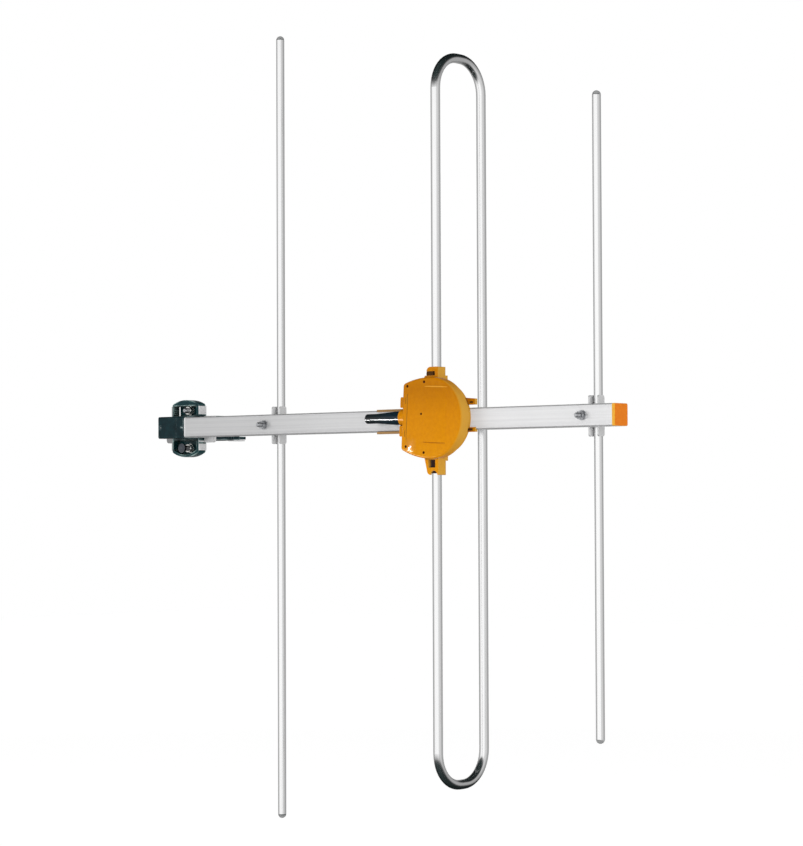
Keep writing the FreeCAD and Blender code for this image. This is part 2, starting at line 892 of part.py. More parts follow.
def make_side_brackets():
    """Two bent plates: a flank against the shell, and a wing for a jaw bolt."""
    inset = size("flank_inset")
    top = size("shell_top_shoulder") - inset
    foot = size("shell_foot_shoulder") - inset
    outer = shell_half + size("flank_wall")
    reach = size("wing_reach")
    corner = size("wing_corner")
    high = size("wing_top")
    low = -size("wing_bottom")
    wing_front = shell_back - size("wing_depth")
    items = []
    for sign, side, (bolt_x, bolt_z) in zip((-1, 1), ("right", "left"), jaw_bolt_places):
        body = new_body("Bracket", 0, boom_y, 0)
        flank = rectangle(shell_half * sign, -foot, outer * sign, top)
        pad(body, "Y", [flank], block_half, shell_back)
        wing = [
            (shell_half * sign, high),
            (shell_half * sign, low),
            ((reach - corner) * sign, low),
            (reach * sign, low + corner, corner, side),
            (reach * sign, high),
        ]
        pad(body, "Y", [wing], wing_front, shell_back)
        pocket(body, "Y", [(bolt_x, bolt_z, bolt_hole["jaw"])], wing_front, shell_back)
        items.append(body)
    return group("side_brackets", items)


def cut_mast_seat(body, front):
    """The half-round seat for the mast, with teeth that bite on it."""
    half = size("jaw_half_height")
    pocket(body, "Z", [(0, 0, bore_radius)], -half, half)
    sign = -1 if front else 1
    middle = bore_radius * sign
    depth = size("tooth_depth") * sign
    width = size("tooth_depth")
    tooth = [(-width, middle - depth), (width, middle - depth), (0, middle + depth)]
    if front:
        tooth.reverse()
    feature = pocket(body, "Z", [tooth], -half, half)
    for turn_sign in (-1, 1):
        pattern = body.newObject("PartDesign::PolarPattern", "Teeth")
        pattern.Originals = [feature]
        axes = [item for item in body.Origin.OriginFeatures if item.Role == "Z_Axis"]
        pattern.Axis = (axes[0], [""])
        pattern.Reversed = turn_sign < 0
        bind(pattern, "Angle", size("tooth_pitch_deg") * 3)
        pattern.Occurrences = 4
        body.Tip = pattern
        doc.recompute()


def hexagon_outline(level):
    """Room for a bolt's head, so that it can't turn or touch the mast."""
    half = size("bracket_head_flats") / 2 + size("sunk_head_slack")
    corner = half * 2 / root(as_value(3))
    return [
        (corner, level), (corner / 2, level + half), (corner / -2, level + half),
        (-corner, level), (corner / -2, level - half), (corner / 2, level - half),
    ]


def make_front_jaw():
    """The jaw bolted to the bracket; its ears lie under the shell."""
    body = new_body("front_jaw")
    half = size("jaw_half_height")
    reach = size("jaw_reach")
    mate = -size("jaw_gap") / 2
    back = mate - size("jaw_depth")
    flange = mate - size("jaw_flange")
    shoulder = bore_radius + size("jaw_wall")
    plan = [
        (-reach, mate), (-reach, flange), (-shoulder, flange), (-shoulder, back),
        (shoulder, back), (shoulder, flange), (reach, flange), (reach, mate),
    ]
    pad(body, "Z", [plan], -half, half)
    posts = [rectangle(-reach, -half, -shoulder, half), rectangle(shoulder, -half, reach, half)]
    pad(body, "Y", posts, back, flange)
    width = size("ear_half_width")
    end = size("ear_end")
    ear = [
        (width, end - width),
        (0, end, width, "left"),
        (-width, end - width, width, "left"),
        (-width, width - end),
        (0, -end, width, "left"),
        (width, width - end, width, "left"),
    ]
    pad(body, "Y", [ear], back, back + size("ear_plate"))
    cut_mast_seat(body, True)
    holes = [(x, z, bolt_hole["jaw"]) for x, z in jaw_bolt_places]
    pocket(body, "Y", holes, back, mate)
    holes = [(0, level, bolt_hole["bracket"]) for level in bracket_bolt_levels]
    pocket(body, "Y", holes, back, back + size("ear_plate"))
    sinks = [hexagon_outline(level) for level in bracket_bolt_levels]
    pocket(body, "Y", sinks, back + size("ear_plate") - sunk_depth, back + size("ear_plate"))
    return body


def make_rear_jaw():
    """The loose jaw behind the mast, arched over it between two flanges."""
    body = new_body("rear_jaw")
    half = size("jaw_half_height")
    reach = size("jaw_reach")
    mate = size("jaw_gap") / 2
    flange = mate + size("jaw_flange")
    crown = bore_radius + size("rear_crown")
    across = root(crown * crown - flange * flange)
    plan = [
        (-reach, mate), (reach, mate), (reach, flange), (across, flange),
        (0, crown, crown, "left"), (-across, flange, crown, "left"), (-reach, flange),
    ]
    pad(body, "Z", [plan], -half, half)
    cut_mast_seat(body, False)
    holes = [(x, z, bolt_hole["jaw"]) for x, z in jaw_bolt_places]
    pocket(body, "Y", holes, mate, flange)
    spot = size("jaw_head_flats") / root(as_value(3)) + size("spot_slack")
    spots = [(x, z, spot) for x, z in jaw_bolt_places]
    pocket(body, "Y", spots, flange, crown)
    return body


def make_bolt(owner, x, z, head_y, tip_y, captive):
    """A six-sided bolt with its head at the rear and its tip towards -Y."""
    radius = size(owner + "_bolt_diameter") / 2
    chamfer = size("bolt_tip_chamfer")
    head = hexagon("Head", x, head_y, z, size(owner + "_head_flats"), size(owner + "_head_height"))
    shank = cylinder("Shank", x, tip_y + chamfer, z, radius, head_y - tip_y - chamfer)
    tip = cone("Tip", x, tip_y, z, radius - chamfer, radius, chamfer)
    items = [head, shank, tip]
    if captive:
        end_radius = size("captive_end_diameter") / 2
        items.append(cylinder("Swaged", x, tip_y, z, end_radius, size("captive_end_height")))
    return fuse("Bolt", items)


def make_clamp_fasteners():
    """Bolts, washers and nuts of the mast clamp, four of each."""
    wing_front = boom_y + shell_back - size("wing_depth")
    floor = boom_y + shell_back - size("shell_floor")
    flange_back = size("jaw_gap") / 2 + size("jaw_flange")
    sunk_seat = boom_y + shell_back + size("ear_plate") - sunk_depth
    zero = as_value(0)
    upper, lower = bracket_bolt_levels
    seats = [
        ("jaw", x, z, wing_front, flange_back, size("jaw_bolt_stub"), False)
        for x, z in jaw_bolt_places
    ]
    seats.append(("bracket", zero, upper, floor, sunk_seat, size("upper_bolt_stub"), False))
    seats.append(("bracket", zero, lower, floor, sunk_seat, size("lower_bolt_stub"), True))
    made = {}
    for owner, x, z, front, back, stub, captive in seats:
        washer_height = size(owner + "_washer_height")
        nut_height = size(owner + "_nut_height")
        washer_y = front - washer_height
        nut_y = washer_y - nut_height
        bolt = make_bolt(owner, x, z, back, nut_y - stub, captive)
        washer = make_washer(
            "Washer", x, washer_y, z,
            size(owner + "_washer_diameter"), bolt_hole[owner], washer_height)
        nut = make_nut(
            "Nut", x, nut_y, z,
            size(owner + "_nut_flats"), size(owner + "_bolt_diameter") / 2, nut_height)
        for kind, item in (("bolts", bolt), ("washers", washer), ("nuts", nut)):
            made.setdefault("%s_%s" % (owner, kind), []).append(item)
    return [group(label, items) for label, items in made.items()]


def box_outline(inset=0, round_inset=0):
    """The box seen from the front: round, with its left side cut flat."""
    radius = size("box_radius") - inset - round_inset
    flat_x = size("box_flat_x") - inset
    flat_half = size("box_flat_half") - inset - round_inset
    shallow = arch_radius(flat_x, radius - flat_half)
    return [
        (0, radius, radius, "left"),
        (-flat_x, flat_half, shallow, "left"),
        (-flat_x, -flat_half),
        (0, -radius, shallow, "left"),
        (radius, 0, radius, "left"),
    ]


def add_blank(body, low, high, round_inset=0):
    """A slab of the box's outline with the flat side's corners rounded."""
    pad(body, "Y", [box_outline(0, round_inset)], low, high, box_turn)
    middle = wall_x.number / 2
    top = as_value(high).number
    round_edges(
        body, size("box_corner"),
        lambda edge: runs_along(edge, "Y") and edge.BoundBox.XMax < middle
        and edge.BoundBox.YMax > top - 0.01)


def tab_outlines(foot):
    """The two sleeve tabs, above and below the box, from its centre."""
    half = size("tab_half_width")
    bend = size("tab_bend")
    nib = size("tab_nib")
    shoulder = size("tab_taper") - half
    top = size("tab_top") - size("box_centre_z")
    bottom = size("tab_bottom") + size("box_centre_z")
    above = [
        (half, foot),
        (half, top - nib),
        (half - nib, top, nib, "left"),
        (shoulder + bend, top),
        (shoulder, top - bend, bend, "left"),
        (-half - size("upper_tab_splay"), foot),
    ]
    below = [
        (-half - size("lower_tab_splay"), -foot),
        (shoulder, bend - bottom),
        (shoulder + bend, -bottom, bend, "left"),
        (half - nib, -bottom),
        (half, nib - bottom, nib, "left"),
        (half, -foot),
    ]
    return [above, below]


def round_tabs(body):
    """Takes the tabs' rear corners off, so that they follow the tube."""
    half = size("tab_half_width")
    rear = -size("tab_rear")
    corner = size("tab_rear_round")
    past = half + size("upper_tab_splay") + 1
    right = [
        (half - corner, rear), (half, rear - corner, corner, "right"),
        (past, rear - corner), (past, rear + 1), (half - corner, rear + 1),
    ]
    left = [
        (corner - half, rear), (-half, rear - corner, corner, "left"),
        (-past, rear - corner), (-past, rear + 1), (corner - half, rear + 1),
    ]
    foot = size("box_radius") + size("tab_root")
    far = size("tab_bottom") + size("box_centre_z")
    for low, high in ((foot, far), (-far, -foot)):
        pocket(body, "Z", [left, right], low, high)


def add_collar(body, front, inner):
    """Half of the round collar that the cable's socket comes out of."""
    radius = size("collar_diameter") / 2
    depth = rim_front - outlet_y
    side = root(radius * radius - depth * depth)
    sign = -1 if front else 1
    outline = [
        (rim_front, outlet_z + side * sign, radius, "left"),
        (rim_front, outlet_z - side * sign),
        (outlet_y + radius * sign, outlet_z, radius, "left"),
    ]
    pad(body, "X", [outline], -size("collar_reach"), inner)


def cut_openings(body):
    """The ways out of the box: two for the dipole's legs, one for the socket."""
    far = size("tab_bottom") + size("box_centre_z")
    for low, high in ((sleeve_foot, far), (-far, -sleeve_foot)):
        pocket(body, "Z", [(0, leg_y, seal_radius)], low, high)
    hole = [(outlet_y, outlet_z, size("socket_diameter") / 2)]
    pocket(body, "X", hole, -size("collar_reach"), wall_x + size("cover_wall") * 2)


def board_corners(inset):
    """Centres of the board's four posts, from the box's centre."""
    left = inset - size("board_left")
    right = size("board_right") - inset
    half = size("board_half_height") - inset
    return [(x, z) for x in (left, right) for z in (-half, half)]


def add_saddle(body):
    """Rails above and below the boom, with lips over its near face."""
    low = -size("box_centre_z")
    lip_front = -boom_half - size("arm_wall")
    grip_end = lip_front + size("arm_grip")
    arm = size("arm_reach")
    ear = size("ear_reach")
    ear_root = size("ear_root")
    ear_gap = size("ear_gap")
    above = low + boom_half
    below = low - boom_half
    wall = size("arm_top")
    crest = above + size("ear_rise")
    upper = [
        (-arm, above),
        (ear_root, above),
        (ear_root + ear_gap, above + ear_gap),
        (ear, above + ear_gap),
        (ear, above + size("ear_tip_rise")),
        (ear_root, crest),
        (0, crest),
        (0, above + wall),
        (-arm, above + wall),
    ]
    lower = rectangle(-arm, below - size("ear_drop"), ear, below)
    pad(body, "Y", [upper], lip_front, grip_end)
    pad(body, "Y", [lower], lip_front, grip_end)
    upper_lip = rectangle(-arm, above - size("upper_lip"), 0, above)
    lower_lip = rectangle(0, below, ear, below + size("lower_lip"))
    pad(body, "Y", [upper_lip, lower_lip], lip_front, -boom_half)


def make_base():
    """The box's rear half, one piece with the saddle that grips the boom."""
    body = new_body("box_base", dipole_x, boom_y, size("box_centre_z"))
    inset = size("base_inset")
    wall = size("cover_wall")
    flange_back = rim_front + size("base_flange")
    add_blank(body, flange_back, -boom_half, inset)
    add_blank(body, rim_front, flange_back)
    pad(body, "Y", tab_outlines(size("box_radius") - inset - size("tab_root")), rim_front, -size("tab_rear"))
    round_tabs(body)
    add_collar(body, False, wall_x + wall)
    add_saddle(body)
    pocket(body, "Y", [box_outline(wall, inset)], rim_front, floor_front, box_turn)
    post = size("board_round")
    posts = [(x, z, post) for x, z in board_corners(post)]
    pad(body, "Y", posts, board_back, floor_front)
    boss = [(0, -size("box_centre_z"), size("box_boss_diameter") / 2)]
    boss_front = floor_front - size("box_boss_height")
    pad(body, "Y", boss, boss_front, floor_front)
    hole = [(0, -size("box_centre_z"), size("box_screw_diameter") / 2)]
    pocket(body, "Y", hole, boss_front, -boom_half)
    cut_openings(body)
    return body


def make_cover():
    """The box's front half: a shallow lid with a crowned panel."""
    body = new_body("box_cover", dipole_x, boom_y, size("box_centre_z"))
    add_blank(body, cover_front, rim_front)
    round_edges(body, size("cover_round"), lambda edge: lies_at(edge, "Y", cover_front))
    pad(body, "Y", tab_outlines(size("box_radius") - size("tab_root")), -size("tab_front"), rim_front)
    add_collar(body, True, wall_x + size("cover_wall"))
    pad(body, "Y", latch_outlines(), rim_front - size("latch_depth"), rim_front, box_turn)
    left = -size("panel_left")
    right = size("panel_right")
    crown = arch_radius((right - left) / 2, size("panel_rise"))
    panel = [(left, cover_front), (right, cover_front, crown, "left")]
    pad(body, "Z", [panel], -size("panel_bottom"), size("panel_top"), box_turn)
    inside = cover_front + size("cover_wall")
    pocket(body, "Y", [box_outline(size("cover_wall"))], inside, rim_front, box_turn)
    cut_openings(body)
    cut_tab_windows(body)
    cut_front_marks(body)
    return body


def latch_outlines():
    """Two catches on the flat side, with their outer corners rounded."""
    outer = wall_x - size("latch_reach")
    inner = wall_x + 1
    corner = size("latch_corner")
    half = size("latch_height") / 2
    outlines = []
    for sign in (-1, 1):
        low = size("latch_place") * sign - half
        high = size("latch_place") * sign + half
        outlines.append([
            (inner, low), (inner, high), (outer + corner, high),
            (outer, high - corner, corner, "left"), (outer, low + corner),
            (outer + corner, low, corner, "left"),
        ])
    return outlines


def cut_tab_windows(body):
    """A window in the front of each tab, and an arch over the tube's foot."""
    low = size("box_centre_z")
    right = size("window_right")
    past = -size("tab_half_width") - 1
    upper_foot = size("upper_window_foot") - low
    lower_foot = size("lower_window_foot") + low
    windows = [
        rectangle(past, upper_foot, right, upper_foot + size("upper_window_height")),
        rectangle(
            -size("lower_window_left"), -lower_foot - size("lower_window_height"),
            right, -lower_foot),
        (size("arch_x"), -size("tab_bottom") - low - size("arch_drop"), size("arch_radius")),
    ]
    for window in windows:
        pocket(body, "Y", [window], -size("tab_front"), leg_y)


def cut_front_marks(body):
    """Moulding marks by the flat side, and five pips."""
    half = size("groove_height") / 2
    groove = -size("groove_x")
    groove_right = groove + size("groove_width")
    seam = -size("seam_x")
    marks = [rectangle(seam, -size("seam_half"), seam + size("seam_width"), size("seam_half"))]
    for sign in (-1, 1):
        level = size("groove_z") * sign
        marks.append(rectangle(groove, level - half, groove_right, level + half))
    pocket(body, "Y", marks, cover_front, cover_front + size("seam_depth"), box_turn)
    sides = {"top": 1, "high": 1, "middle": 1, "low": -1, "foot": -1}
    pips = [
        (-size(name + "_pip_x"), size(name + "_pip_z") * sign, size("pip_radius"))
        for name, sign in sides.items()
    ]
    pocket(body, "Y", pips, cover_front, cover_front + size("pip_depth"), box_turn)


def make_seals():
    """Two rubber sleeves that close the tabs round the dipole's legs."""
    ends = [
        ("Upper", size("box_centre_z") + sleeve_foot, size("tab_top") - size("seal_inset")),
        ("Lower", size("seal_inset") - size("tab_bottom"), size("box_centre_z") - sleeve_foot),
    ]
    items = []
    for name, low, high in ends:
        parts = []
        for radius in (seal_radius, tube_radius):
            item = doc.addObject("Part::Cylinder", name)
            bind(item, "Radius", radius)
            bind(item, "Height", high - low)
            place(item, dipole_x, boom_y + leg_y, low)
            parts.append(item)
        items.append(cut(name, parts[0], parts[1]))
    return group("leg_seals", items)


def make_board():
    """The board that matches the cable to the dipole, on its four posts."""
    body = new_body("circuit_board", dipole_x, boom_y, size("box_centre_z"))
    left = -size("board_left")
    right = size("board_right")
    half = size("board_half_height")
    front = board_back - size("board_wall")
    pad(body, "Y", [rectangle(left, -half, right, half)], front, board_back)
    corner = size("board_round")
    round_edges(body, corner, lambda edge: runs_along(edge, "Y"))
    hole_z = size("feed_gap") / 2 + size("feed_screw_inset")
    hole = size("feed_screw_diameter") / 2
    holes = [(0, hole_z * sign - size("box_centre_z"), hole) for sign in (-1, 1)]
    pocket(body, "Y", holes, front, board_back)
    return body


def make_core():
    """The ferrite ring on the board."""
    front = boom_y + board_back - size("board_wall") - size("core_height")
    return make_washer(
        "balun_core", dipole_x + size("core_place"), front, size("box_centre_z"),
        size("core_diameter"), size("core_bore") / 2, size("core_height"))


def make_feed_screws():
    """Two screws that join the board to the dipole's ends."""
    front = boom_y + board_back - size("board_wall")
    head_y = front - size("feed_head_height")
    tip_y = boom_y + leg_y
    items = []
    for sign in (-1, 1):
        z = (size("feed_gap") / 2 + size("feed_screw_inset")) * sign
        head_radius = size("feed_head_diameter") / 2
        head = cylinder("Head", dipole_x, head_y, z, head_radius, size("feed_head_height"))
        shank = cylinder("Shank", dipole_x, front, z, size("feed_screw_diameter") / 2, tip_y - front)
        items.append(fuse("Screw", [head, shank]))
    return group("feed_screws", items)


def make_box_screw():
    """The screw behind the boom that pulls the saddle on to it."""
    body = new_body("box_screw", dipole_x, boom_y, 0)
    shank = size("box_screw_diameter") / 2
    head = size("screw_head_diameter") / 2
    crown = size("screw_head_height") / 2
    tip = floor_front - size("box_boss_height")
    turned(body, [
        (0, tip),
        (shank, tip + shank),
        (shank, boom_half),
        (head, boom_half),
        (head, boom_half + crown),
        (head - crown, boom_half + crown * 2, crown, "left"),
        (0, boom_half + crown * 2),
    ], axis="Y")
    return body


def make_socket():
    """The screw-on cable socket in the box's flat side, turned metal."""
    body = new_body("cable_socket", dipole_x, boom_y + outlet_y, size("outlet_z"))
    thread = size("socket_diameter") / 2
    bore = size("socket_bore") / 2
    pin = size("socket_pin_diameter") / 2
    flange = size("socket_flange_diameter") / 2
    mouth = -size("socket_reach")
    wall = wall_x + size("cover_wall") + size("socket_slack")
    inner = wall + size("socket_flange")
    turned(body, [
        (0, mouth + size("socket_bore_depth")),
        (bore, mouth + size("socket_bore_depth")),
        (bore, mouth),
        (thread, mouth),
        (thread, wall),
        (flange, wall),
        (flange, inner),
        (pin, inner),
        (pin, inner + size("socket_pin_length")),
        (0, inner + size("socket_pin_length")),
    ], axis="X")
    return body


def make_boot():
    """The rubber boot pushed over the socket, its tip still closed."""
    body = new_body("connector_boot", dipole_x, boom_y + outlet_y, size("outlet_z"))
    mouth = size("boot_mouth_diameter") / 2
    tip = size("boot_end_diameter") / 2
    grip = size("socket_diameter") / 2
    bore = size("boot_bore_diameter") / 2
    start = -size("collar_reach")
    end = -size("boot_end")
    turned(body, [
        (mouth, start),
        (mouth, -size("boot_taper_start")),
        (tip, -size("boot_taper_end")),
        (tip, end + tip),
        (0, end, tip, "left"),
        (0, end + size("boot_wall")),
        (bore, end + size("boot_wall") + bore, bore, "right"),
        (bore, -size("boot_taper_end")),
        (grip, -size("socket_reach")),
        (grip, start),
    ], axis="X")
    return body


made = [make_boom(), make_end_cap(), make_dipole()]
for element, crossing in crossings.items():
    made.append(make_rod(element + "_rod", crossing, size(element + "_length")))
    made.append(make_clip(element + "_clip", crossing))
    made.append(make_screw(element + "_screw", crossing))
    made.extend(make_element_fasteners(element, crossing))
made.extend([make_bracket(), make_side_brackets(), make_front_jaw(), make_rear_jaw()])
made.extend(make_clamp_fasteners())
made.extend([make_base(), make_cover(), make_seals(), make_board(), make_core()])
made.extend([make_feed_screws(), make_box_screw(), make_socket(), make_boot()])
doc.recompute()

for item in doc.Objects:
    if "Invalid" in item.State or "Error" in item.State:
        raise RuntimeError("%s failed: %s" % (item.Label, item.State))
os.makedirs("parts", exist_ok=True)
for item in made:
    if item.Shape.isNull() or not item.Shape.isValid():
        raise RuntimeError("%s has no sound shape" % item.Label)
    item.Shape.exportStep(os.path.join("parts", item.Label + ".step"))
    print("%-18s %2d solids %10.1f mm3" % (item.Label, len(item.Shape.Solids), item.Shape.Volume))
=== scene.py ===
# %% [markdown]
# A three element aerial for digital radio, dressed in Blender
#
# The aerial comes in as a fixed frame: every tube, clip, bolt and cover already
# stands at its real place, in metres. This lesson gives each of them its finish,
# adds the fine forms that only the eye needs, and sets up a plain white studio
# with the camera where the photographer stood.

# %% Load the frame
import math
import bmesh
import bpy
from mathutils import Matrix, Vector


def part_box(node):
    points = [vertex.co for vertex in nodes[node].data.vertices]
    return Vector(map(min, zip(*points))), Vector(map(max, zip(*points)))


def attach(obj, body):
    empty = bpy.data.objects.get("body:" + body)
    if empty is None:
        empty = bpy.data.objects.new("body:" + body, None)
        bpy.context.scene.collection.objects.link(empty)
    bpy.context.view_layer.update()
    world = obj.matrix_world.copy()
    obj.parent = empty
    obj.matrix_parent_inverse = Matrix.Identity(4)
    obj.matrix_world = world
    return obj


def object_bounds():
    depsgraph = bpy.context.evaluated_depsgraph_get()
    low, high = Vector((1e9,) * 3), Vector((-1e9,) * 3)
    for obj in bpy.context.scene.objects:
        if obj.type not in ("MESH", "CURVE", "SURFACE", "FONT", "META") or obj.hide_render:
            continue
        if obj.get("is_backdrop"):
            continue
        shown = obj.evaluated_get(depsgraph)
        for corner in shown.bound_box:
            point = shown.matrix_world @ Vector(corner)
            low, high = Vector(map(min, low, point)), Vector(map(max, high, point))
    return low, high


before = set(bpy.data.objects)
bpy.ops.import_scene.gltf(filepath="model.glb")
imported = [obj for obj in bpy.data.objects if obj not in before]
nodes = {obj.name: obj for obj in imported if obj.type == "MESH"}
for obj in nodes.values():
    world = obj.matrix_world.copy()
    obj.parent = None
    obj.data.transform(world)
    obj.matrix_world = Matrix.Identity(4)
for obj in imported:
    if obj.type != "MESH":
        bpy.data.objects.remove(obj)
cad_low, cad_high = [list(corner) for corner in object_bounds()]
print("nodes in the frame:", len(nodes))

# %% [markdown]
# Places that several steps use
#
# The frame is in metres, and most sizes below are easier to read in millimetres,
# so they are written that way and multiplied by MM. The feed box is screwed to the
# boom at the loop's middle, so its screw gives the loop's place along the boom. The
# box sits a millimetre above the boom's axis.

# %% Places
MM = 0.001
screw_low, screw_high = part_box("box_screw")
dipole_x = (screw_low.x + screw_high.x) / 2
box_z = 1 * MM
middle = (Vector(cad_low) + Vector(cad_high)) / 2
print("dipole at x", round(dipole_x, 4))

# %% [markdown]
# The camera
#
# The photo was taken from the left front, a little below the boom, through a long
# lens. A picture 803 pixels wide with a focal length of 2600 pixels is what a
# 36 mm wide sensor sees through a 116.6 mm lens. The camera looks at a point just
# under the boom's axis, and leans by a quarter of a degree, as the photo does.

# %% Camera
PICTURE_WIDTH = 803
FOCAL_PIXELS = 2600.0
SENSOR_WIDTH = 36.0
TURN = math.radians(40.0)
RISE = math.radians(1.74)
LEAN = math.radians(-0.23)
DISTANCE = 2441.31 * MM
AIM = Vector((295.4, -46.0, -1.8)) * MM
FARTHEST_SEEN = 30


def camera_axes():
    """The camera's right, up and forward directions in the aerial's frame."""
    forward = Vector((
        -math.sin(TURN) * math.cos(RISE),
        math.cos(TURN) * math.cos(RISE),
        math.sin(RISE)))
    level = Vector((math.cos(TURN), math.sin(TURN), 0))
    above = level.cross(forward)
    right = level * math.cos(LEAN) + above * math.sin(LEAN)
    up = above * math.cos(LEAN) - level * math.sin(LEAN)
    return right, up, forward


right, up, forward = camera_axes()
camera_data = bpy.data.cameras.new("photo_camera")
camera = bpy.data.objects.new("photo_camera", camera_data)
bpy.context.scene.collection.objects.link(camera)
camera.matrix_world = Matrix((
    (right.x, up.x, -forward.x, 0),
    (right.y, up.y, -forward.y, 0),
    (right.z, up.z, -forward.z, 0),
    (0, 0, 0, 1)))
camera.location = AIM - forward * DISTANCE
camera_data.sensor_width = SENSOR_WIDTH
camera_data.sensor_fit = "HORIZONTAL"
camera_data.lens = FOCAL_PIXELS / PICTURE_WIDTH * SENSOR_WIDTH
camera_data.clip_end = FARTHEST_SEEN
bpy.context.scene.camera = camera
print("camera at", [round(value, 4) for value in camera.location])

# %% [markdown]
# Wiring nodes
#
# Blender paints a surface with a tree of small nodes. The helpers here place the
# few kinds of node that come back in every finish and wire them up. Each takes
# its inputs as plain numbers and colours, or as a pair of a node and the name of
# one of its outputs.

# %% Node helpers
WHITE = (1, 1, 1)


def link(tree, source, output, target, socket):
    """Wires one node's output to another node's socket."""
    tree.links.new(source.outputs[output], target.inputs[socket])


def fill(tree, node, socket, value):
    """Gives a socket a number, a colour, or what a (node, output) pair puts out."""
    if isinstance(value, (int, float)):
        node.inputs[socket].default_value = value
    elif isinstance(value[0], bpy.types.Node):
        link(tree, *value, node, socket)
    else:
        node.inputs[socket].default_value = (*value, 1)


def math_node(tree, operation, *values):
    """A maths node with its one or two inputs filled."""
    node = tree.nodes.new("ShaderNodeMath")
    node.operation = operation
    for place, value in enumerate(values):
        fill(tree, node, place, value)
    return node


def map_range(tree, source, start, end, to_start=0, to_end=1):
    """Turns the range from start to end into the range from to_start to to_end."""
    node = tree.nodes.new("ShaderNodeMapRange")
    for socket, value in (
            ("Value", source), ("From Min", start), ("From Max", end),
            ("To Min", to_start), ("To Max", to_end)):
        fill(tree, node, socket, value)
    return node


def mix_colour(tree, amount, first, second, blend="MIX"):
    """Goes from the first colour to the second as the amount goes from 0 to 1."""
    node = tree.nodes.new("ShaderNodeMix")
    node.data_type = "RGBA"
    node.blend_type = blend
    for socket, value in (("Factor", amount), ("A", first), ("B", second)):
        fill(tree, node, socket, value)
    return node


def ramp(tree, source, stops):
    """A colour ramp with one stop for each (place, grey or colour)."""
    node = tree.nodes.new("ShaderNodeValToRGB")
    elements = node.color_ramp.elements
    while len(elements) < len(stops):
        elements.new(0.5)
    for element, (place, colour) in zip(elements, stops):
        element.position = place
        if isinstance(colour, (int, float)):
            colour = (colour, colour, colour)
        element.color = (*colour, 1)
    link(tree, *source, node, "Fac")
    return node


def new_material(name):
    """A new material, its tree of nodes and its Principled shader."""
    material = bpy.data.materials.new(name)
    material.use_nodes = True
    return material, material.node_tree, material.node_tree.nodes["Principled BSDF"]


print("helpers:", [
    helper.__name__ for helper in (
        link, fill, math_node, map_range, mix_colour, ramp, new_material)])

# %% [markdown]
# The studio
#
# Bright metal shows the room around it, so the room is part of the finish. The
# camera sees a plain white page behind the aerial, and so do mirrors and glass.
# Soft grey light from all around fills the shadows.

# %% World
FILL_LIGHT = 0.72
world = bpy.data.worlds.new("studio")
bpy.context.scene.world = world
world.use_nodes = True
tree = world.node_tree
tree.nodes.clear()


def seen_directly(tree):
    """1 for a ray that looks: from the camera, off a gloss or through glass."""
    path = tree.nodes.new("ShaderNodeLightPath")
    pair = math_node(
        tree, "MAXIMUM", (path, "Is Camera Ray"), (path, "Is Glossy Ray"))
    all_three = math_node(
        tree, "MAXIMUM", (pair, "Value"), (path, "Is Transmission Ray"))
    return all_three, "Value"


room = tree.nodes.new("ShaderNodeBackground")
fill(tree, room, "Strength", FILL_LIGHT)
page = tree.nodes.new("ShaderNodeBackground")
seen = tree.nodes.new("ShaderNodeMixShader")
fill(tree, seen, "Fac", seen_directly(tree))
for place, background in ((1, room), (2, page)):
    fill(tree, background, "Color", WHITE)
    link(tree, background, "Background", seen, place)
output = tree.nodes.new("ShaderNodeOutputWorld")
link(tree, seen, "Shader", output, "Surface")
bpy.context.scene.view_settings.view_transform = "Standard"
print("fill light", FILL_LIGHT)

# %% [markdown]
# Lamps
#
# Two large soft lamps stand left and right of the camera and shape the plastics.
# A narrow one hangs low on the left. It is linked to the rubber boot and the cover
# alone, as a photographer would flag it off the metal, and only their gloss sees
# it: it draws the bright line along the boot and the glint on the cover.

# %% Lamps
# Each lamp's place from the aerial's middle, width and height in metres, and watts
LAMPS = {
    "left_lamp": ((-1.5, -2.3, 0.5), 1.2, 1.6, 19),
    "right_lamp": ((2.6, -0.9, 0.2), 1.0, 1.6, 17),
    "low_lamp": ((-0.81, -0.81, -0.38), 0.5, 0.07, 15),
}


def add_lamp(name, offset, width, height, power):
    """A soft rectangular lamp beside the aerial, facing its middle."""
    data = bpy.data.lights.new(name, "AREA")
    data.shape = "RECTANGLE"
    data.size = width
    data.size_y = height
    data.energy = power
    lamp = bpy.data.objects.new(name, data)
    bpy.context.scene.collection.objects.link(lamp)
    lamp.location = middle + Vector(offset)
    lamp.rotation_euler = (-Vector(offset)).to_track_quat("-Z", "Y").to_euler()
    lamp.visible_camera = False
    lamp.visible_glossy = False
    return lamp


lamps = {name: add_lamp(name, *values) for name, values in LAMPS.items()}
glinting = bpy.data.collections.new("glinting_parts")
for name in ("connector_boot", "box_cover"):
    glinting.objects.link(nodes[name])
low_lamp = lamps["low_lamp"]
low_lamp.light_linking.receiver_collection = glinting
low_lamp.visible_glossy = True
low_lamp.visible_diffuse = False
print("lamps:", len(lamps))

# %% [markdown]
# The floor
#
# A sheet of pale paper lies well below the aerial, which hangs from its mast
# clamp. Part of the paper's white is its own glow for rays that look at it, and
# the rest is light it receives, so the aerial still leaves a soft shadow on it.

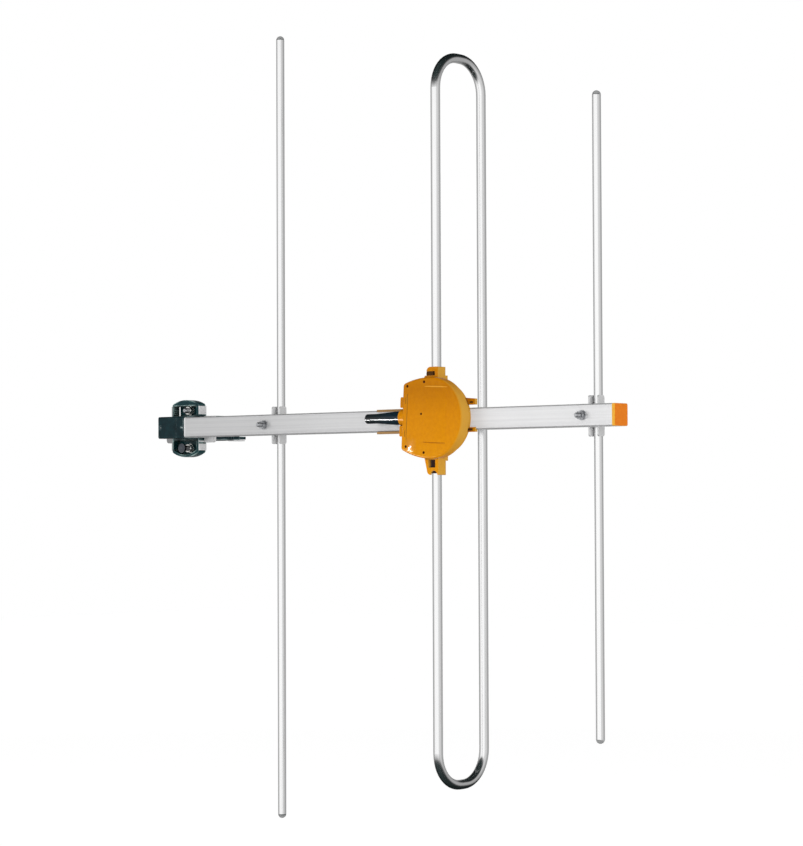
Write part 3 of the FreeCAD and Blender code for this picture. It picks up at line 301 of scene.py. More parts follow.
# %% Floor
FLOOR_SIZE = 16
FLOOR_DROP = 0.25
PAPER = 0.85
PAPER_GLOW = 0.38
PAPER_ROUGHNESS = 0.95
PAPER_GLOSS = 0.1
floor_z = cad_low[2] - FLOOR_DROP
bpy.ops.object.select_all(action="DESELECT")
bpy.ops.mesh.primitive_plane_add(
    size=FLOOR_SIZE, location=(middle.x, middle.y, floor_z))
floor = bpy.context.object
floor.name = "floor"
floor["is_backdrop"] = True
material, tree, shader = new_material("floor_paper")
glow = math_node(tree, "MULTIPLY", seen_directly(tree), PAPER_GLOW)
for socket, value in (
        ("Base Color", (PAPER, PAPER, PAPER)), ("Roughness", PAPER_ROUGHNESS),
        ("Specular IOR Level", PAPER_GLOSS), ("Emission Color", WHITE),
        ("Emission Strength", (glow, "Value"))):
    fill(tree, shader, socket, value)
floor.data.materials.append(material)
print("floor at", round(floor_z, 3))

# %% [markdown]
# The reflection tent
#
# Photographers hang white cloth round bright metal and leave gaps where an edge
# should look dark. This drum does the same, and it is seen only in reflections.

# %% Tent
TENT_RADIUS = 4.0
TENT_SIDES = 64
TENT_LOW = floor_z + 0.03
TENT_HIGH = 3.0
bpy.ops.object.select_all(action="DESELECT")
bpy.ops.mesh.primitive_cylinder_add(
    vertices=TENT_SIDES, radius=TENT_RADIUS, depth=TENT_HIGH - TENT_LOW,
    location=(middle.x, middle.y, (TENT_HIGH + TENT_LOW) / 2))
bpy.ops.object.transform_apply(location=True, rotation=True, scale=True)
tent = bpy.context.object
tent.name = "tent"
tent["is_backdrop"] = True
tent.visible_camera = False
tent.visible_diffuse = False
tent.visible_transmission = False
tent.visible_volume_scatter = False
tent.visible_shadow = False
print("tent radius", TENT_RADIUS, "and height", round(TENT_HIGH - TENT_LOW, 3))

# %% [markdown]
# The tent's cloth
#
# The cloth is white behind the camera and to its left, grey to its right and on
# the far side, and nearly black overhead and underfoot. So each upright tube is
# white in the middle and grey at its edges. Two ramps are multiplied: one goes
# round the drum by compass direction, the other goes up it by height angle.

# %% Tent cloth
# Brightness by compass direction in degrees, from the aerial's +X towards +Y
TENT_AROUND = [
    (-180, 0.34), (-163, 0.38), (-152, 0.55), (-137, 0.6), (-126, 0.97),
    (-118, 1.0), (-40, 1.0), (-30, 0.72), (20, 0.60), (38, 0.38), (130, 0.32),
    (180, 0.34)]
# Brightness by height angle in degrees, with a faint blue-green in the dark
DARK = (0.024, 0.034, 0.034)
TENT_UP = [
    (-75, DARK), (-50, (0.04, 0.05, 0.05)), (-38, 0.12), (-29, 0.62), (-20, 1.0),
    (17, 1.0), (26, 0.1), (40, (0.03, 0.042, 0.042)), (70, DARK)]
material, tree, shader = new_material("tent_cloth")
material.cycles.emission_sampling = "NONE"
tree.nodes.remove(shader)
place = tree.nodes.new("ShaderNodeTexCoord")
from_middle = tree.nodes.new("ShaderNodeVectorMath")
from_middle.operation = "SUBTRACT"
from_middle.inputs[1].default_value = middle
link(tree, place, "Object", from_middle, 0)
direction = tree.nodes.new("ShaderNodeVectorMath")
direction.operation = "NORMALIZE"
link(tree, from_middle, "Vector", direction, 0)
split = tree.nodes.new("ShaderNodeSeparateXYZ")
link(tree, direction, "Vector", split, "Vector")
compass = math_node(tree, "ARCTAN2", (split, "Y"), (split, "X"))
turned = map_range(tree, (compass, "Value"), -math.pi, math.pi)
around = ramp(
    tree, (turned, "Result"),
    [((angle + 180) / 360, tone) for angle, tone in TENT_AROUND])
raised = map_range(tree, (split, "Z"), -1, 1)
upward = ramp(
    tree, (raised, "Result"),
    [((math.sin(math.radians(angle)) + 1) / 2, tone) for angle, tone in TENT_UP])
cloth = mix_colour(tree, 1, (around, "Color"), (upward, "Color"), "MULTIPLY")
shine = tree.nodes.new("ShaderNodeEmission")
link(tree, cloth, "Result", shine, "Color")
link(tree, shine, "Emission", tree.nodes["Material Output"], "Surface")
tent.data.materials.append(material)
print("tones round and up the tent:", len(TENT_AROUND), len(TENT_UP))

# %% [markdown]
# Effects that several finishes share
#
# Four effects turn up on many parts, so each is a node group: the grain that a
# die, a brush or a mould leaves, soft smudges from weather and hands, edges that
# are rubbed (on the clamp also a painted edge highlight), and painted shade in
# slots. Each group puts out only masks and heights, and every finish mixes its own
# colours with them. All of them read Object coordinates, so they stay fixed to the
# aerial from every side.

# %% A group's sockets
VECTOR = "NodeSocketVector"
FLOAT = "NodeSocketFloat"


def new_group(name, inputs, outputs):
    """A shader node group with its named sockets, and its two end nodes."""
    group = bpy.data.node_groups.new(name, "ShaderNodeTree")
    for label, kind, value in inputs:
        socket = group.interface.new_socket(label, in_out="INPUT", socket_type=kind)
        socket.default_value = value
    for label in outputs:
        group.interface.new_socket(label, in_out="OUTPUT", socket_type=FLOAT)
    given = group.nodes.new("NodeGroupInput")
    result = group.nodes.new("NodeGroupOutput")
    return group, given, result


def add_noise(tree, detail, roughness=0.5, scale=1.0):
    """A cloud of noise; scale is a number or a (node, output) pair."""
    node = tree.nodes.new("ShaderNodeTexNoise")
    fill(tree, node, "Scale", scale)
    fill(tree, node, "Detail", detail)
    fill(tree, node, "Roughness", roughness)
    return node


print("a group's sockets are of the kinds", VECTOR, "and", FLOAT)

# %% [markdown]
# Grain
#
# Noise that is squeezed far more across a direction than along it becomes lines.
# With the same squeeze on all three axes it becomes the fine pebbling of moulded
# plastic. Two sizes are mixed, because one size alone looks printed.

# %% Grain group
BROAD_SCALE = 0.23
GRAIN_DARK, GRAIN_LIGHT = 0.72, 1.28
grain, given, result = new_group(
    "grain", [("Stretch", VECTOR, (1, 1, 1))], ["Tone", "Height"])
place = grain.nodes.new("ShaderNodeTexCoord")
stretched = grain.nodes.new("ShaderNodeVectorMath")
stretched.operation = "MULTIPLY"
link(grain, place, "Object", stretched, 0)
link(grain, given, "Stretch", stretched, 1)
fine = add_noise(grain, 4.0, 0.6)
broad = add_noise(grain, 2.0, scale=BROAD_SCALE)
for noise in (fine, broad):
    link(grain, stretched, "Vector", noise, "Vector")
both = math_node(grain, "ADD", (fine, "Fac"), (broad, "Fac"))
tone = map_range(grain, (both, "Value"), GRAIN_DARK, GRAIN_LIGHT)
link(grain, tone, "Result", result, "Tone")
link(grain, fine, "Fac", result, "Height")
print("grain nodes:", len(grain.nodes))

# %% [markdown]
# Smudges
#
# Rain, dust and fingers leave soft patches that are a little less shiny. A cloud
# of noise of a given size, with more contrast than it comes with, tells the clean
# places from the smudged ones.

# %% Smudge group
CLEAN, SMUDGED = 0.34, 0.66
smudges, given, result = new_group("smudges", [("Size", FLOAT, 0.05)], ["Amount"])
place = smudges.nodes.new("ShaderNodeTexCoord")
per_metre = math_node(smudges, "DIVIDE", 1.0, (given, "Size"))
cloud = add_noise(smudges, 5.0, 0.62, (per_metre, "Value"))
link(smudges, place, "Object", cloud, "Vector")
spread = map_range(smudges, (cloud, "Fac"), CLEAN, SMUDGED)
link(smudges, spread, "Result", result, "Amount")
print("smudge nodes:", len(smudges.nodes))

# %% [markdown]
# Edge wear and painted edge sheen
#
# The Bevel node gives the normal that a rounded edge would have. Where it turns
# away from the face's own normal there is an edge, and a patchy noise decides
# how much of that edge is rubbed. On the clamp the light edge colour is also a
# painted edge highlight.

# %% Edge wear and sheen group
FLAT, ROUND = 0.985, 0.88
KEPT, RUBBED = 0.38, 0.58
edge_wear_and_sheen, given, result = new_group(
    "edge_wear_and_sheen", [("Radius", FLOAT, 0.0005), ("Patch", FLOAT, 0.01)], ["Mask"])
rounded = edge_wear_and_sheen.nodes.new("ShaderNodeBevel")
rounded.samples = 6
link(edge_wear_and_sheen, given, "Radius", rounded, "Radius")
facing = edge_wear_and_sheen.nodes.new("ShaderNodeNewGeometry")
agree = edge_wear_and_sheen.nodes.new("ShaderNodeVectorMath")
agree.operation = "DOT_PRODUCT"
link(edge_wear_and_sheen, rounded, "Normal", agree, 0)
link(edge_wear_and_sheen, facing, "Normal", agree, 1)
edge = map_range(edge_wear_and_sheen, (agree, "Value"), FLAT, ROUND)
place = edge_wear_and_sheen.nodes.new("ShaderNodeTexCoord")
per_metre = math_node(edge_wear_and_sheen, "DIVIDE", 1.0, (given, "Patch"))
patches = add_noise(edge_wear_and_sheen, 4.0, scale=(per_metre, "Value"))
link(edge_wear_and_sheen, place, "Object", patches, "Vector")
patchy = map_range(edge_wear_and_sheen, (patches, "Fac"), KEPT, RUBBED)
edge_wear_and_sheen_mask = math_node(edge_wear_and_sheen, "MULTIPLY", (edge, "Result"), (patchy, "Result"))
link(edge_wear_and_sheen, edge_wear_and_sheen_mask, "Value", result, "Mask")
print("edge wear nodes:", len(edge_wear_and_sheen.nodes))

# %% [markdown]
# Painted shade in crevices
#
# Light hardly gets into a narrow slot, and what comes out of a coloured plastic's
# slot is deeper and redder than its face. This shade is painted into the colour:
# an Ambient Occlusion node measures how closed in each spot is, within a given
# distance on its own part, and a finish mixes its slot colour in there.

# %% Crevice shade group
OPEN, CLOSED = 0.82, 0.35
crevice_shade, given, result = new_group(
    "crevice_shade", [("Distance", FLOAT, 0.002)], ["Mask"])
openness = crevice_shade.nodes.new("ShaderNodeAmbientOcclusion")
openness.samples = 8
openness.only_local = True
link(crevice_shade, given, "Distance", openness, "Distance")
deep = map_range(crevice_shade, (openness, "AO"), OPEN, CLOSED)
link(crevice_shade, deep, "Result", result, "Mask")
print("groups:", [group.name for group in bpy.data.node_groups])

# %% [markdown]
# Finishes
#
# A finish is a few plain facts: its colour, the darker colour of its grain and
# the colour of its edges (rubbed, and on the clamp also a painted highlight), how
# rough it is between its clean and its smudged places, how many grains a metre
# holds along each axis, and how high they stand.
# One function turns them into a material with the groups. What is the same all
# over, such as how strongly a plastic mirrors, is set on the shader itself.

# %% Finish maker
WEAR_PATCH = 12
GRAIN_STRENGTH = 0.6


def place_group(tree, group, **values):
    """One of the shared groups, placed in a material with its own values."""
    node = tree.nodes.new("ShaderNodeGroup")
    node.node_tree = group
    for label, value in values.items():
        node.inputs[label].default_value = value
    return node


def make_finish(
        name, base, dark, worn_and_lit_edge, rough, lines, relief,
        metallic=0.0, gloss=0.5, tint=WHITE, wear_and_sheen=0.4, smudge=60, edge=0.5,
        slot=None, slot_depth=2):
    """A material with grain, smudges, edge wear and sheen, and painted slot shade; sizes
    are in mm.
    """
    material, tree, shader = new_material(name)
    for socket, value in (
            ("Metallic", metallic), ("Specular IOR Level", gloss),
            ("Specular Tint", tint)):
        fill(tree, shader, socket, value)
    grained = place_group(tree, grain, Stretch=lines)
    cloud = place_group(tree, smudges, Size=smudge * MM)
    edge_wear_and_sheen_mask = place_group(tree, edge_wear_and_sheen, Radius=edge * MM, Patch=WEAR_PATCH * MM)
    colour = mix_colour(tree, (grained, "Tone"), dark, base)
    amount = math_node(tree, "MULTIPLY", (edge_wear_and_sheen_mask, "Mask"), wear_and_sheen)
    colour = mix_colour(tree, (amount, "Value"), (colour, "Result"), worn_and_lit_edge)
    # The slot colour is painted shade, mixed in where a spot is closed in.
    if slot is not None:
        closed = place_group(tree, crevice_shade, Distance=slot_depth * MM)
        colour = mix_colour(tree, (closed, "Mask"), (colour, "Result"), slot)
    link(tree, colour, "Result", shader, "Base Color")
    spread = map_range(tree, (cloud, "Amount"), 0, 1, *rough)
    link(tree, spread, "Result", shader, "Roughness")
    bumps = tree.nodes.new("ShaderNodeBump")
    fill(tree, bumps, "Distance", relief * MM)
    fill(tree, bumps, "Strength", GRAIN_STRENGTH)
    link(tree, grained, "Height", bumps, "Height")
    link(tree, bumps, "Normal", shader, "Normal")
    return material


print("a finish is made of up to", len(bpy.data.node_groups), "groups")

# %% [markdown]
# Bare metals
#
# The boom is extruded, so its lines run along it (X here). The elements are drawn
# tube, with lines along their height and a brighter, smoother skin. The clips are
# stamped from sheet and a little duller, and the screws are zinc plated: greyer,
# with a cloudy crystal pattern instead of lines.

# %% Metals
ALONG_X = (6, 1500, 1500)
ALONG_Z = (1600, 1600, 5)
SHEET_GRAIN = (500, 500, 500)
CRYSTALS = (300, 300, 300)
FINE_CRYSTALS = (420, 420, 420)


def grey(level):
    """A colour with the same red, green and blue."""
    return level, level, level


# Each finish has a name, its colour, its grain's colour and its edges' colour
# (rubbed, and on the clamp also a painted highlight), its roughness from clean to
# smudged, its grains per metre and their height in mm
alu_boom = make_finish(
    "boom_aluminium", (0.97, 0.97, 0.975), (0.84, 0.84, 0.85), grey(0.98),
    (0.34, 0.42), ALONG_X, 0.03, metallic=0.62, wear_and_sheen=0.5, smudge=90)
alu_tube, reflector_skin, director_skin = [
    make_finish(
        name, grey(0.98), (0.93, 0.93, 0.935), grey(0.98), (0.13, 0.2), ALONG_Z,
        0.006, metallic=1.0, wear_and_sheen=0.2, smudge=120)
    for name in ("element_aluminium", "reflector_aluminium", "director_aluminium")]
# The clip's slot colour is painted shade.
alu_clip = make_finish(
    "clip_aluminium", grey(0.92), (0.82, 0.82, 0.825), grey(0.97),
    (0.28, 0.42), SHEET_GRAIN, 0.02, metallic=0.5, wear_and_sheen=0.6, smudge=30,
    slot=grey(0.2), slot_depth=3)
bright_zinc = make_finish(
    "bright_zinc", (0.96, 0.96, 0.93), (0.84, 0.84, 0.80), grey(0.98),
    (0.14, 0.22), CRYSTALS, 0.02, metallic=0.8, wear_and_sheen=0.6, smudge=8)
bracket_zinc = make_finish(
    "bracket_zinc", grey(0.96), (0.84, 0.84, 0.85), grey(0.98),
    (0.4, 0.5), CRYSTALS, 0.03, metallic=0.35, wear_and_sheen=0.6, smudge=12)
dark_steel = make_finish(
    "dark_steel", (0.20, 0.22, 0.25), (0.10, 0.11, 0.13), (0.6, 0.62, 0.65),
    (0.3, 0.45), FINE_CRYSTALS, 0.04, metallic=1.0, wear_and_sheen=0.8, smudge=10, edge=0.4)
steel = make_finish(
    "zinc_steel", (0.66, 0.67, 0.69), (0.46, 0.47, 0.49), grey(0.80),
    (0.34, 0.5), FINE_CRYSTALS, 0.04, metallic=1.0, wear_and_sheen=0.7, smudge=10, edge=0.3)
print("aluminium:", [m.name for m in bpy.data.materials if "aluminium" in m.name])

# %% [markdown]
# Plastics and rubber
#
# The box is amber polypropylene with hardly any mirror on it, so the colour stays
# deep, and what gloss it has is tinted by its own colour. The clamp is a dark
# blue-green black and shinier. The boot is soft rubber. Pebbling too fine to see
# one by one still breaks up their highlights.

# %% Plastics and rubber
PEBBLE = (1400, 1400, 1400)
BLOCK_PEBBLE = (500, 500, 500)
RUBBER_PEBBLE = (700, 700, 700)
FERRITE_GRAIN = (900, 900, 900)
GLASS_WEAVE = (260, 900, 260)
AMBER_TINT = (1.0, 0.6, 0.25)
# The box's slot colour is painted shade.
amber = make_finish(
    "box_plastic", (0.75, 0.295, 0.0), (0.68, 0.245, 0.0), (0.85, 0.46, 0.07),
    (0.2, 0.26), PEBBLE, 0.006, gloss=0.13, tint=AMBER_TINT, wear_and_sheen=0.4, edge=1.2,
    slot=(0.07, 0.006, 0.0), slot_depth=3)
cap_orange = make_finish(
    "cap_plastic", (0.84, 0.225, 0.010), (0.76, 0.185, 0.008), (0.92, 0.52, 0.12),
    (0.22, 0.34), PEBBLE, 0.01, gloss=0.2, tint=(1.0, 0.6, 0.2), wear_and_sheen=0.5)
# The clamp's pale edge colour is partly wear and partly a painted edge highlight, and its
# slot colour is painted shade.
black = make_finish(
    "clamp_plastic", (0.0040, 0.0250, 0.0310), (0.0020, 0.0120, 0.0160),
    (0.20, 0.28, 0.29), (0.14, 0.28), BLOCK_PEBBLE, 0.012, gloss=0.18, wear_and_sheen=1.0,
    smudge=20, edge=2.2, slot=(0.0006, 0.001, 0.0014), slot_depth=4)
boot_black = make_finish(
    "boot_rubber", (0.010, 0.014, 0.0170), (0.007, 0.010, 0.0130),
    (0.03, 0.04, 0.05), (0.14, 0.18), RUBBER_PEBBLE, 0.0002, gloss=0.4, wear_and_sheen=0.2)
seal_brown = make_finish(
    "seal_rubber", (0.036, 0.010, 0.006), (0.020, 0.006, 0.004),
    (0.07, 0.03, 0.02), (0.5, 0.65), RUBBER_PEBBLE, 0.03, gloss=0.2)
board_green = make_finish(
    "board_green", (0.03, 0.13, 0.05), (0.02, 0.09, 0.035), (0.30, 0.30, 0.18),
    (0.3, 0.4), GLASS_WEAVE, 0.02, gloss=0.4)
ferrite = make_finish(
    "ferrite", (0.055, 0.055, 0.058), (0.03, 0.03, 0.032), grey(0.12),
    (0.5, 0.65), FERRITE_GRAIN, 0.04, gloss=0.3)
print("materials:", len(bpy.data.materials))

# %% [markdown]
# Who wears what
#
# The parts of the frame keep their shapes and only change their finish. The table
# lists them by finish, and the cell says so if it has left a part out.

# %% Hand the finishes out
FINISHES = {
    alu_boom: ["boom"],
    alu_tube: ["folded_dipole"],
    reflector_skin: ["reflector_rod"],
    director_skin: ["director_rod"],
    alu_clip: ["reflector_clip", "director_clip"],
    bracket_zinc: ["side_brackets"],
    bright_zinc: ["bracket_nuts", "bracket_washers"],
    dark_steel: ["bracket_bolts"],
    steel: [
        "reflector_screw", "reflector_washer", "reflector_nut",
        "director_screw", "director_washer", "director_nut",
        "jaw_bolts", "jaw_washers", "jaw_nuts",
        "feed_screws", "box_screw", "cable_socket"],
    amber: ["box_base", "box_cover"],
    cap_orange: ["boom_end_cap"],
    black: ["boom_bracket", "front_jaw", "rear_jaw"],
    boot_black: ["connector_boot"],
    seal_brown: ["leg_seals"],
    board_green: ["circuit_board"],
    ferrite: ["balun_core"],
}
dressed = set()
for material, names in FINISHES.items():
    for name in names:
        mesh = nodes[name].data
        mesh.materials.clear()
        mesh.materials.append(material)
        dressed.add(name)
bare = sorted(set(nodes) - dressed)
print("dressed", len(dressed), "of", len(nodes), "nodes; left:", bare)

# %% [markdown]
# Painted light and shade along a part
#
# Each ramp here paints light and shade into a part's colour. The cover is darker
# towards its top and a little lighter at its foot, as painted shade and light, and
# the boom has painted shade at its mast end. The end cap's flange is thin enough to
# let light through, so its sides are painted paler than its end. The upper bracket
# bolt carries a painted highlight and the lower one is a little darker, the clamp's
# upper and lower parts carry a painted sheen, the left side plate painted shade,
# and the boot a painted sheen from brownish at its tip to bluish at the box. A ramp
# along one of the part's own directions, multiplied into its colour, does all of
# these.

# %% Tone helpers
def place_along(tree, axis):
    """The place along X, Y or Z in metres, as a (node, output) pair."""
    place = tree.nodes.new("ShaderNodeTexCoord")
    split = tree.nodes.new("ShaderNodeSeparateXYZ")
    link(tree, place, "Object", split, "Vector")
    return split, axis


def colour_so_far(shader):
    """The (node, output) pair that feeds a shader's colour now."""
    source = shader.inputs["Base Color"].links[0]
    return source.from_node, source.from_socket.name


def tone_along(material, axis, start, end, stops):
    """Multiplies a finish's colour by a ramp from start to end along an axis."""
    tree = material.node_tree
    shader = tree.nodes["Principled BSDF"]
    share = map_range(tree, place_along(tree, axis), start, end)
    tones = ramp(tree, (share, "Result"), stops)
    toned = mix_colour(
        tree, 1, colour_so_far(shader), (tones, "Color"), "MULTIPLY")
    link(tree, toned, "Result", shader, "Base Color")


print("the amber's colour now comes from a", colour_so_far(
    amber.node_tree.nodes["Principled BSDF"])[0].bl_label, "node")

# %% Painted light and shade on each part
CLAMP_PAINTED_SHEEN = (2.3, 2.2, 2.0)
cover_low, cover_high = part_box("box_cover")
boom_low, boom_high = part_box("boom")
boot_low, boot_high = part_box("connector_boot")
cap_low, cap_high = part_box("boom_end_cap")
# Painted shade towards the cover's top, a little lighter at its foot
tone_along(amber, "Z", cover_low.z, cover_high.z, [
    (0.0, (1.05, 1.07, 1.0)), (0.35, (0.99, 0.96, 0.9)), (0.55, (0.93, 0.88, 0.9)),
    (0.8, (0.72, 0.64, 0.8)), (1.0, (0.82, 0.76, 0.8))])
# Painted shade at the boom's mast end
tone_along(alu_boom, "X", boom_low.x, boom_high.x, [
    (0.0, 0.74), (0.28, 0.78), (0.5, 0.9), (0.85, 0.97), (1.0, 1.0)])
# Painted highlight on the upper bracket bolt; the lower bolt a little darker
tone_along(dark_steel, "Z", -1 * MM, 1 * MM, [(0.0, 0.7), (1.0, (3.6, 3.4, 3.1))])
# Painted sheen on the clamp above and below the boom
tone_along(black, "Z", -14 * MM, 14 * MM, [
    (0.0, CLAMP_PAINTED_SHEEN), (0.1, 1.0), (0.9, 1.0), (1.0, CLAMP_PAINTED_SHEEN)])
# Painted shade on the left side plate
tone_along(bracket_zinc, "X", -28 * MM, 0.0, [(0.0, 0.35), (0.6, 0.45), (1.0, 1.0)])
# Painted sheen on the boot, brownish at its tip and bluish at the box
tone_along(boot_black, "X", boot_low.x, boot_high.x, [
    (0.0, (1.9, 1.5, 1.2)), (0.35, (1.5, 1.6, 1.5)), (1.0, (0.5, 1.6, 2.2))])
# Painted light: the cap's sides paler than its end, lit through the thin flange
tone_along(cap_orange, "X", cap_high.x - 0.3 * MM, cap_high.x, [
    (0.0, (1.08, 2.1, 5.5)), (0.5, 1.0), (1.0, 1.0)])
print("cover", round(cover_high.z - cover_low.z, 4), "m tall")

# %% [markdown]
# Sanded tips
#
# The straight elements are tubes closed at both ends, and their ends were sanded
# round. Sanded metal mirrors less than drawn metal, so the last few millimetres of
# each element are made less metallic. Each has a finish of its own for this,
# because the two differ in length.

# %% Sanded tips
SANDED_METALLIC = 0.65
DRAWN_UP_TO = 4
SANDED_FROM = 2.5


def sand_tips(material, node):
    """Makes both ends of a straight element mirror less than its middle."""
    low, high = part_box(node)
    half = (high.z - low.z) / 2
    tree = material.node_tree
    from_centre = math_node(
        tree, "SUBTRACT", place_along(tree, "Z"), (high.z + low.z) / 2)
    reach = math_node(tree, "ABSOLUTE", (from_centre, "Value"))
    metallic = map_range(
        tree, (reach, "Value"), half - DRAWN_UP_TO * MM, half - SANDED_FROM * MM,
        1, SANDED_METALLIC)
    link(tree, metallic, "Result", tree.nodes["Principled BSDF"], "Metallic")
    return half


for skin, node in (
        (reflector_skin, "reflector_rod"), (director_skin, "director_rod")):
    half = sand_tips(skin, node)
    print(node, "reaches", round(half, 4), "m from its middle")

# %% [markdown]
# The box stays out of the mirrors
#
# The photo's metal shows no orange beside the amber box, as if a card had stood
# between them. So the box, and what can be seen in its gaps, are left out of what
# other parts mirror. They still throw their shade.

# %% Hidden in reflections
for name in (
        "box_cover", "box_base", "circuit_board", "balun_core", "feed_screws",
        "leg_seals"):
    nodes[name].visible_glossy = False
print("out of the mirrors:", [
    name for name in sorted(nodes) if not nodes[name].visible_glossy])

# %% [markdown]
# The painted sheen on the right side
#
# Faces of the box that point towards +X carry a painted sheen: the amber is
# mixed towards the chalky tan that light from the right gives them. The mask is the
# direction that a face points in, not the place of the camera, so it stays on that
# side of the box from every view. Near their far ends, the two thin arms of the
# saddle, clamped along the boom, are mixed into a greyer tan.

# %% Painted sheen on the right side
SIDE_SHEEN = (0.70, 0.40, 0.06)
SIDE_SHEEN_SHARE = 0.72
SIDEWAYS, FACING_RIGHT = 0.2, 0.95
ARM_TAN = (0.36, 0.26, 0.145)
ARM_TAN_SHARE = 0.75
ARM_END, ARM_ROOT = -42.5, -38.5
tree = amber.node_tree
shader = tree.nodes["Principled BSDF"]
facing = tree.nodes.new("ShaderNodeNewGeometry")
split = tree.nodes.new("ShaderNodeSeparateXYZ")
link(tree, facing, "Normal", split, "Vector")
# Painted sheen where a face points towards +X
facing_right_share = map_range(tree, (split, "X"), SIDEWAYS, FACING_RIGHT, 0, SIDE_SHEEN_SHARE)
sheened = mix_colour(tree, (facing_right_share, "Result"), colour_so_far(shader), SIDE_SHEEN)
arms = map_range(
    tree, place_along(tree, "X"), dipole_x + ARM_END * MM, dipole_x + ARM_ROOT * MM,
    ARM_TAN_SHARE, 0)
arm_tanned = mix_colour(tree, (arms, "Result"), (sheened, "Result"), ARM_TAN)
link(tree, arm_tanned, "Result", shader, "Base Color")
print("faded side:", SIDE_SHEEN, "and arms:", ARM_TAN)

# %% [markdown]
# The swelling at the mould gate
#
# By the low pip the cover swells a little, where the plastic was injected. It is
# slight over a thumb's width, so it is left to a Bump node: a smooth mound whose
# lower side tips towards the low lamp. The bump is as steep as a mound 1.7 mm
# high, which is what it takes for the glint to reach the camera. A clear coat over
# the mound keeps the glint white, where the amber's own gloss turns it orange.

# %% Gate mound
MOUND_PLACE = (-22.6, -23.2)
MOUND_RADIUS = 9.5
MOUND_HEIGHT = 1.7
COAT = 0.8
COAT_ROUGHNESS = 0.1
mound_centre = Vector((
    dipole_x + MOUND_PLACE[0] * MM, cover_low.y, box_z + MOUND_PLACE[1] * MM))
place = tree.nodes.new("ShaderNodeTexCoord")
mound = tree.nodes.new("ShaderNodeVectorMath")
mound.operation = "DISTANCE"
mound.inputs[1].default_value = mound_centre
link(tree, place, "Object", mound, 0)
rise = map_range(tree, (mound, "Value"), 0, MOUND_RADIUS * MM, 1, 0)
rise.interpolation_type = "SMOOTHSTEP"
swell = tree.nodes.new("ShaderNodeBump")
fill(tree, swell, "Strength", 1)
fill(tree, swell, "Distance", MOUND_HEIGHT * MM)
link(tree, rise, "Result", swell, "Height")
pebbles = shader.inputs["Normal"].links[0].from_node
link(tree, swell, "Normal", pebbles, "Normal")
skin = math_node(tree, "MULTIPLY", (rise, "Result"), COAT)
link(tree, skin, "Value", shader, "Coat Weight")
fill(tree, shader, "Coat Roughness", COAT_ROUGHNESS)
link(tree, swell, "Normal", shader, "Coat Normal")
print("mound at", [round(value, 4) for value in mound_centre])

# %% [markdown]
# Making small pieces
#
# Every new piece is finished in the same way: its place goes into its mesh, its
# faces are turned outwards, its round faces are smoothed, and it rides with the
# aerial. The pieces are made from a primitive in edit mode, as by hand.

# %% Piece helpers
SAME_SPOT = 0.000002


def start_edit():
    """Enters edit mode, ready to pick vertices."""
    bpy.ops.object.mode_set(mode="EDIT")
    bpy.ops.mesh.select_mode(type="VERT")


def select_where(test):
    """Selects the vertices that pass a test, in edit mode, and counts them."""
    bpy.ops.mesh.select_all(action="DESELECT")
    work = bmesh.from_edit_mesh(bpy.context.object.data)
    found = [vertex for vertex in work.verts if test(vertex.co)]
    for vertex in found:
        vertex.select = True
    work.select_flush(True)
    bmesh.update_edit_mesh(bpy.context.object.data)
    return len(found)


def finish_piece(piece, name, material, smooth_up_to):
    """Puts the place into the mesh, turns faces out, smooths, dresses and mounts."""
    bpy.ops.object.select_all(action="DESELECT")
    piece.select_set(True)
    bpy.context.view_layer.objects.active = piece
    bpy.ops.object.transform_apply(location=True, rotation=True, scale=True)
    start_edit()
    bpy.ops.mesh.select_all(action="SELECT")
    bpy.ops.mesh.remove_doubles(threshold=SAME_SPOT)
    bpy.ops.mesh.normals_make_consistent(inside=False)
    bpy.ops.object.mode_set(mode="OBJECT")
    bpy.ops.object.shade_smooth_by_angle(angle=math.radians(smooth_up_to))
    piece.name = name
    piece.data.name = name
    piece.data.materials.clear()
    piece.data.materials.append(material)
    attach(piece, "root")
    return piece


def apply_modifier(piece, kind, **values):
    """Adds a modifier with its values and applies it."""
    modifier = piece.modifiers.new(kind.lower(), kind)
    for label, value in values.items():
        setattr(modifier, label, value)
    bpy.context.view_layer.objects.active = piece
    bpy.ops.object.modifier_apply(modifier=modifier.name)


# %% [markdown]
# Screw threads
#
# The solids have plain shanks. A thread is one small triangle that winds round
# its axis, which is just what the Screw modifier does. It is wound once for each
# length, its two open ends are closed, and it is laid on the shank so that only
# its crest stands out.

# %% Thread maker
# In pitches: the triangle's radius, how deep it is sunk, and where it starts
CREST, SINK, LEAD_IN = 0.52, 0.16, 0.9
STEPS_PER_TURN = 20


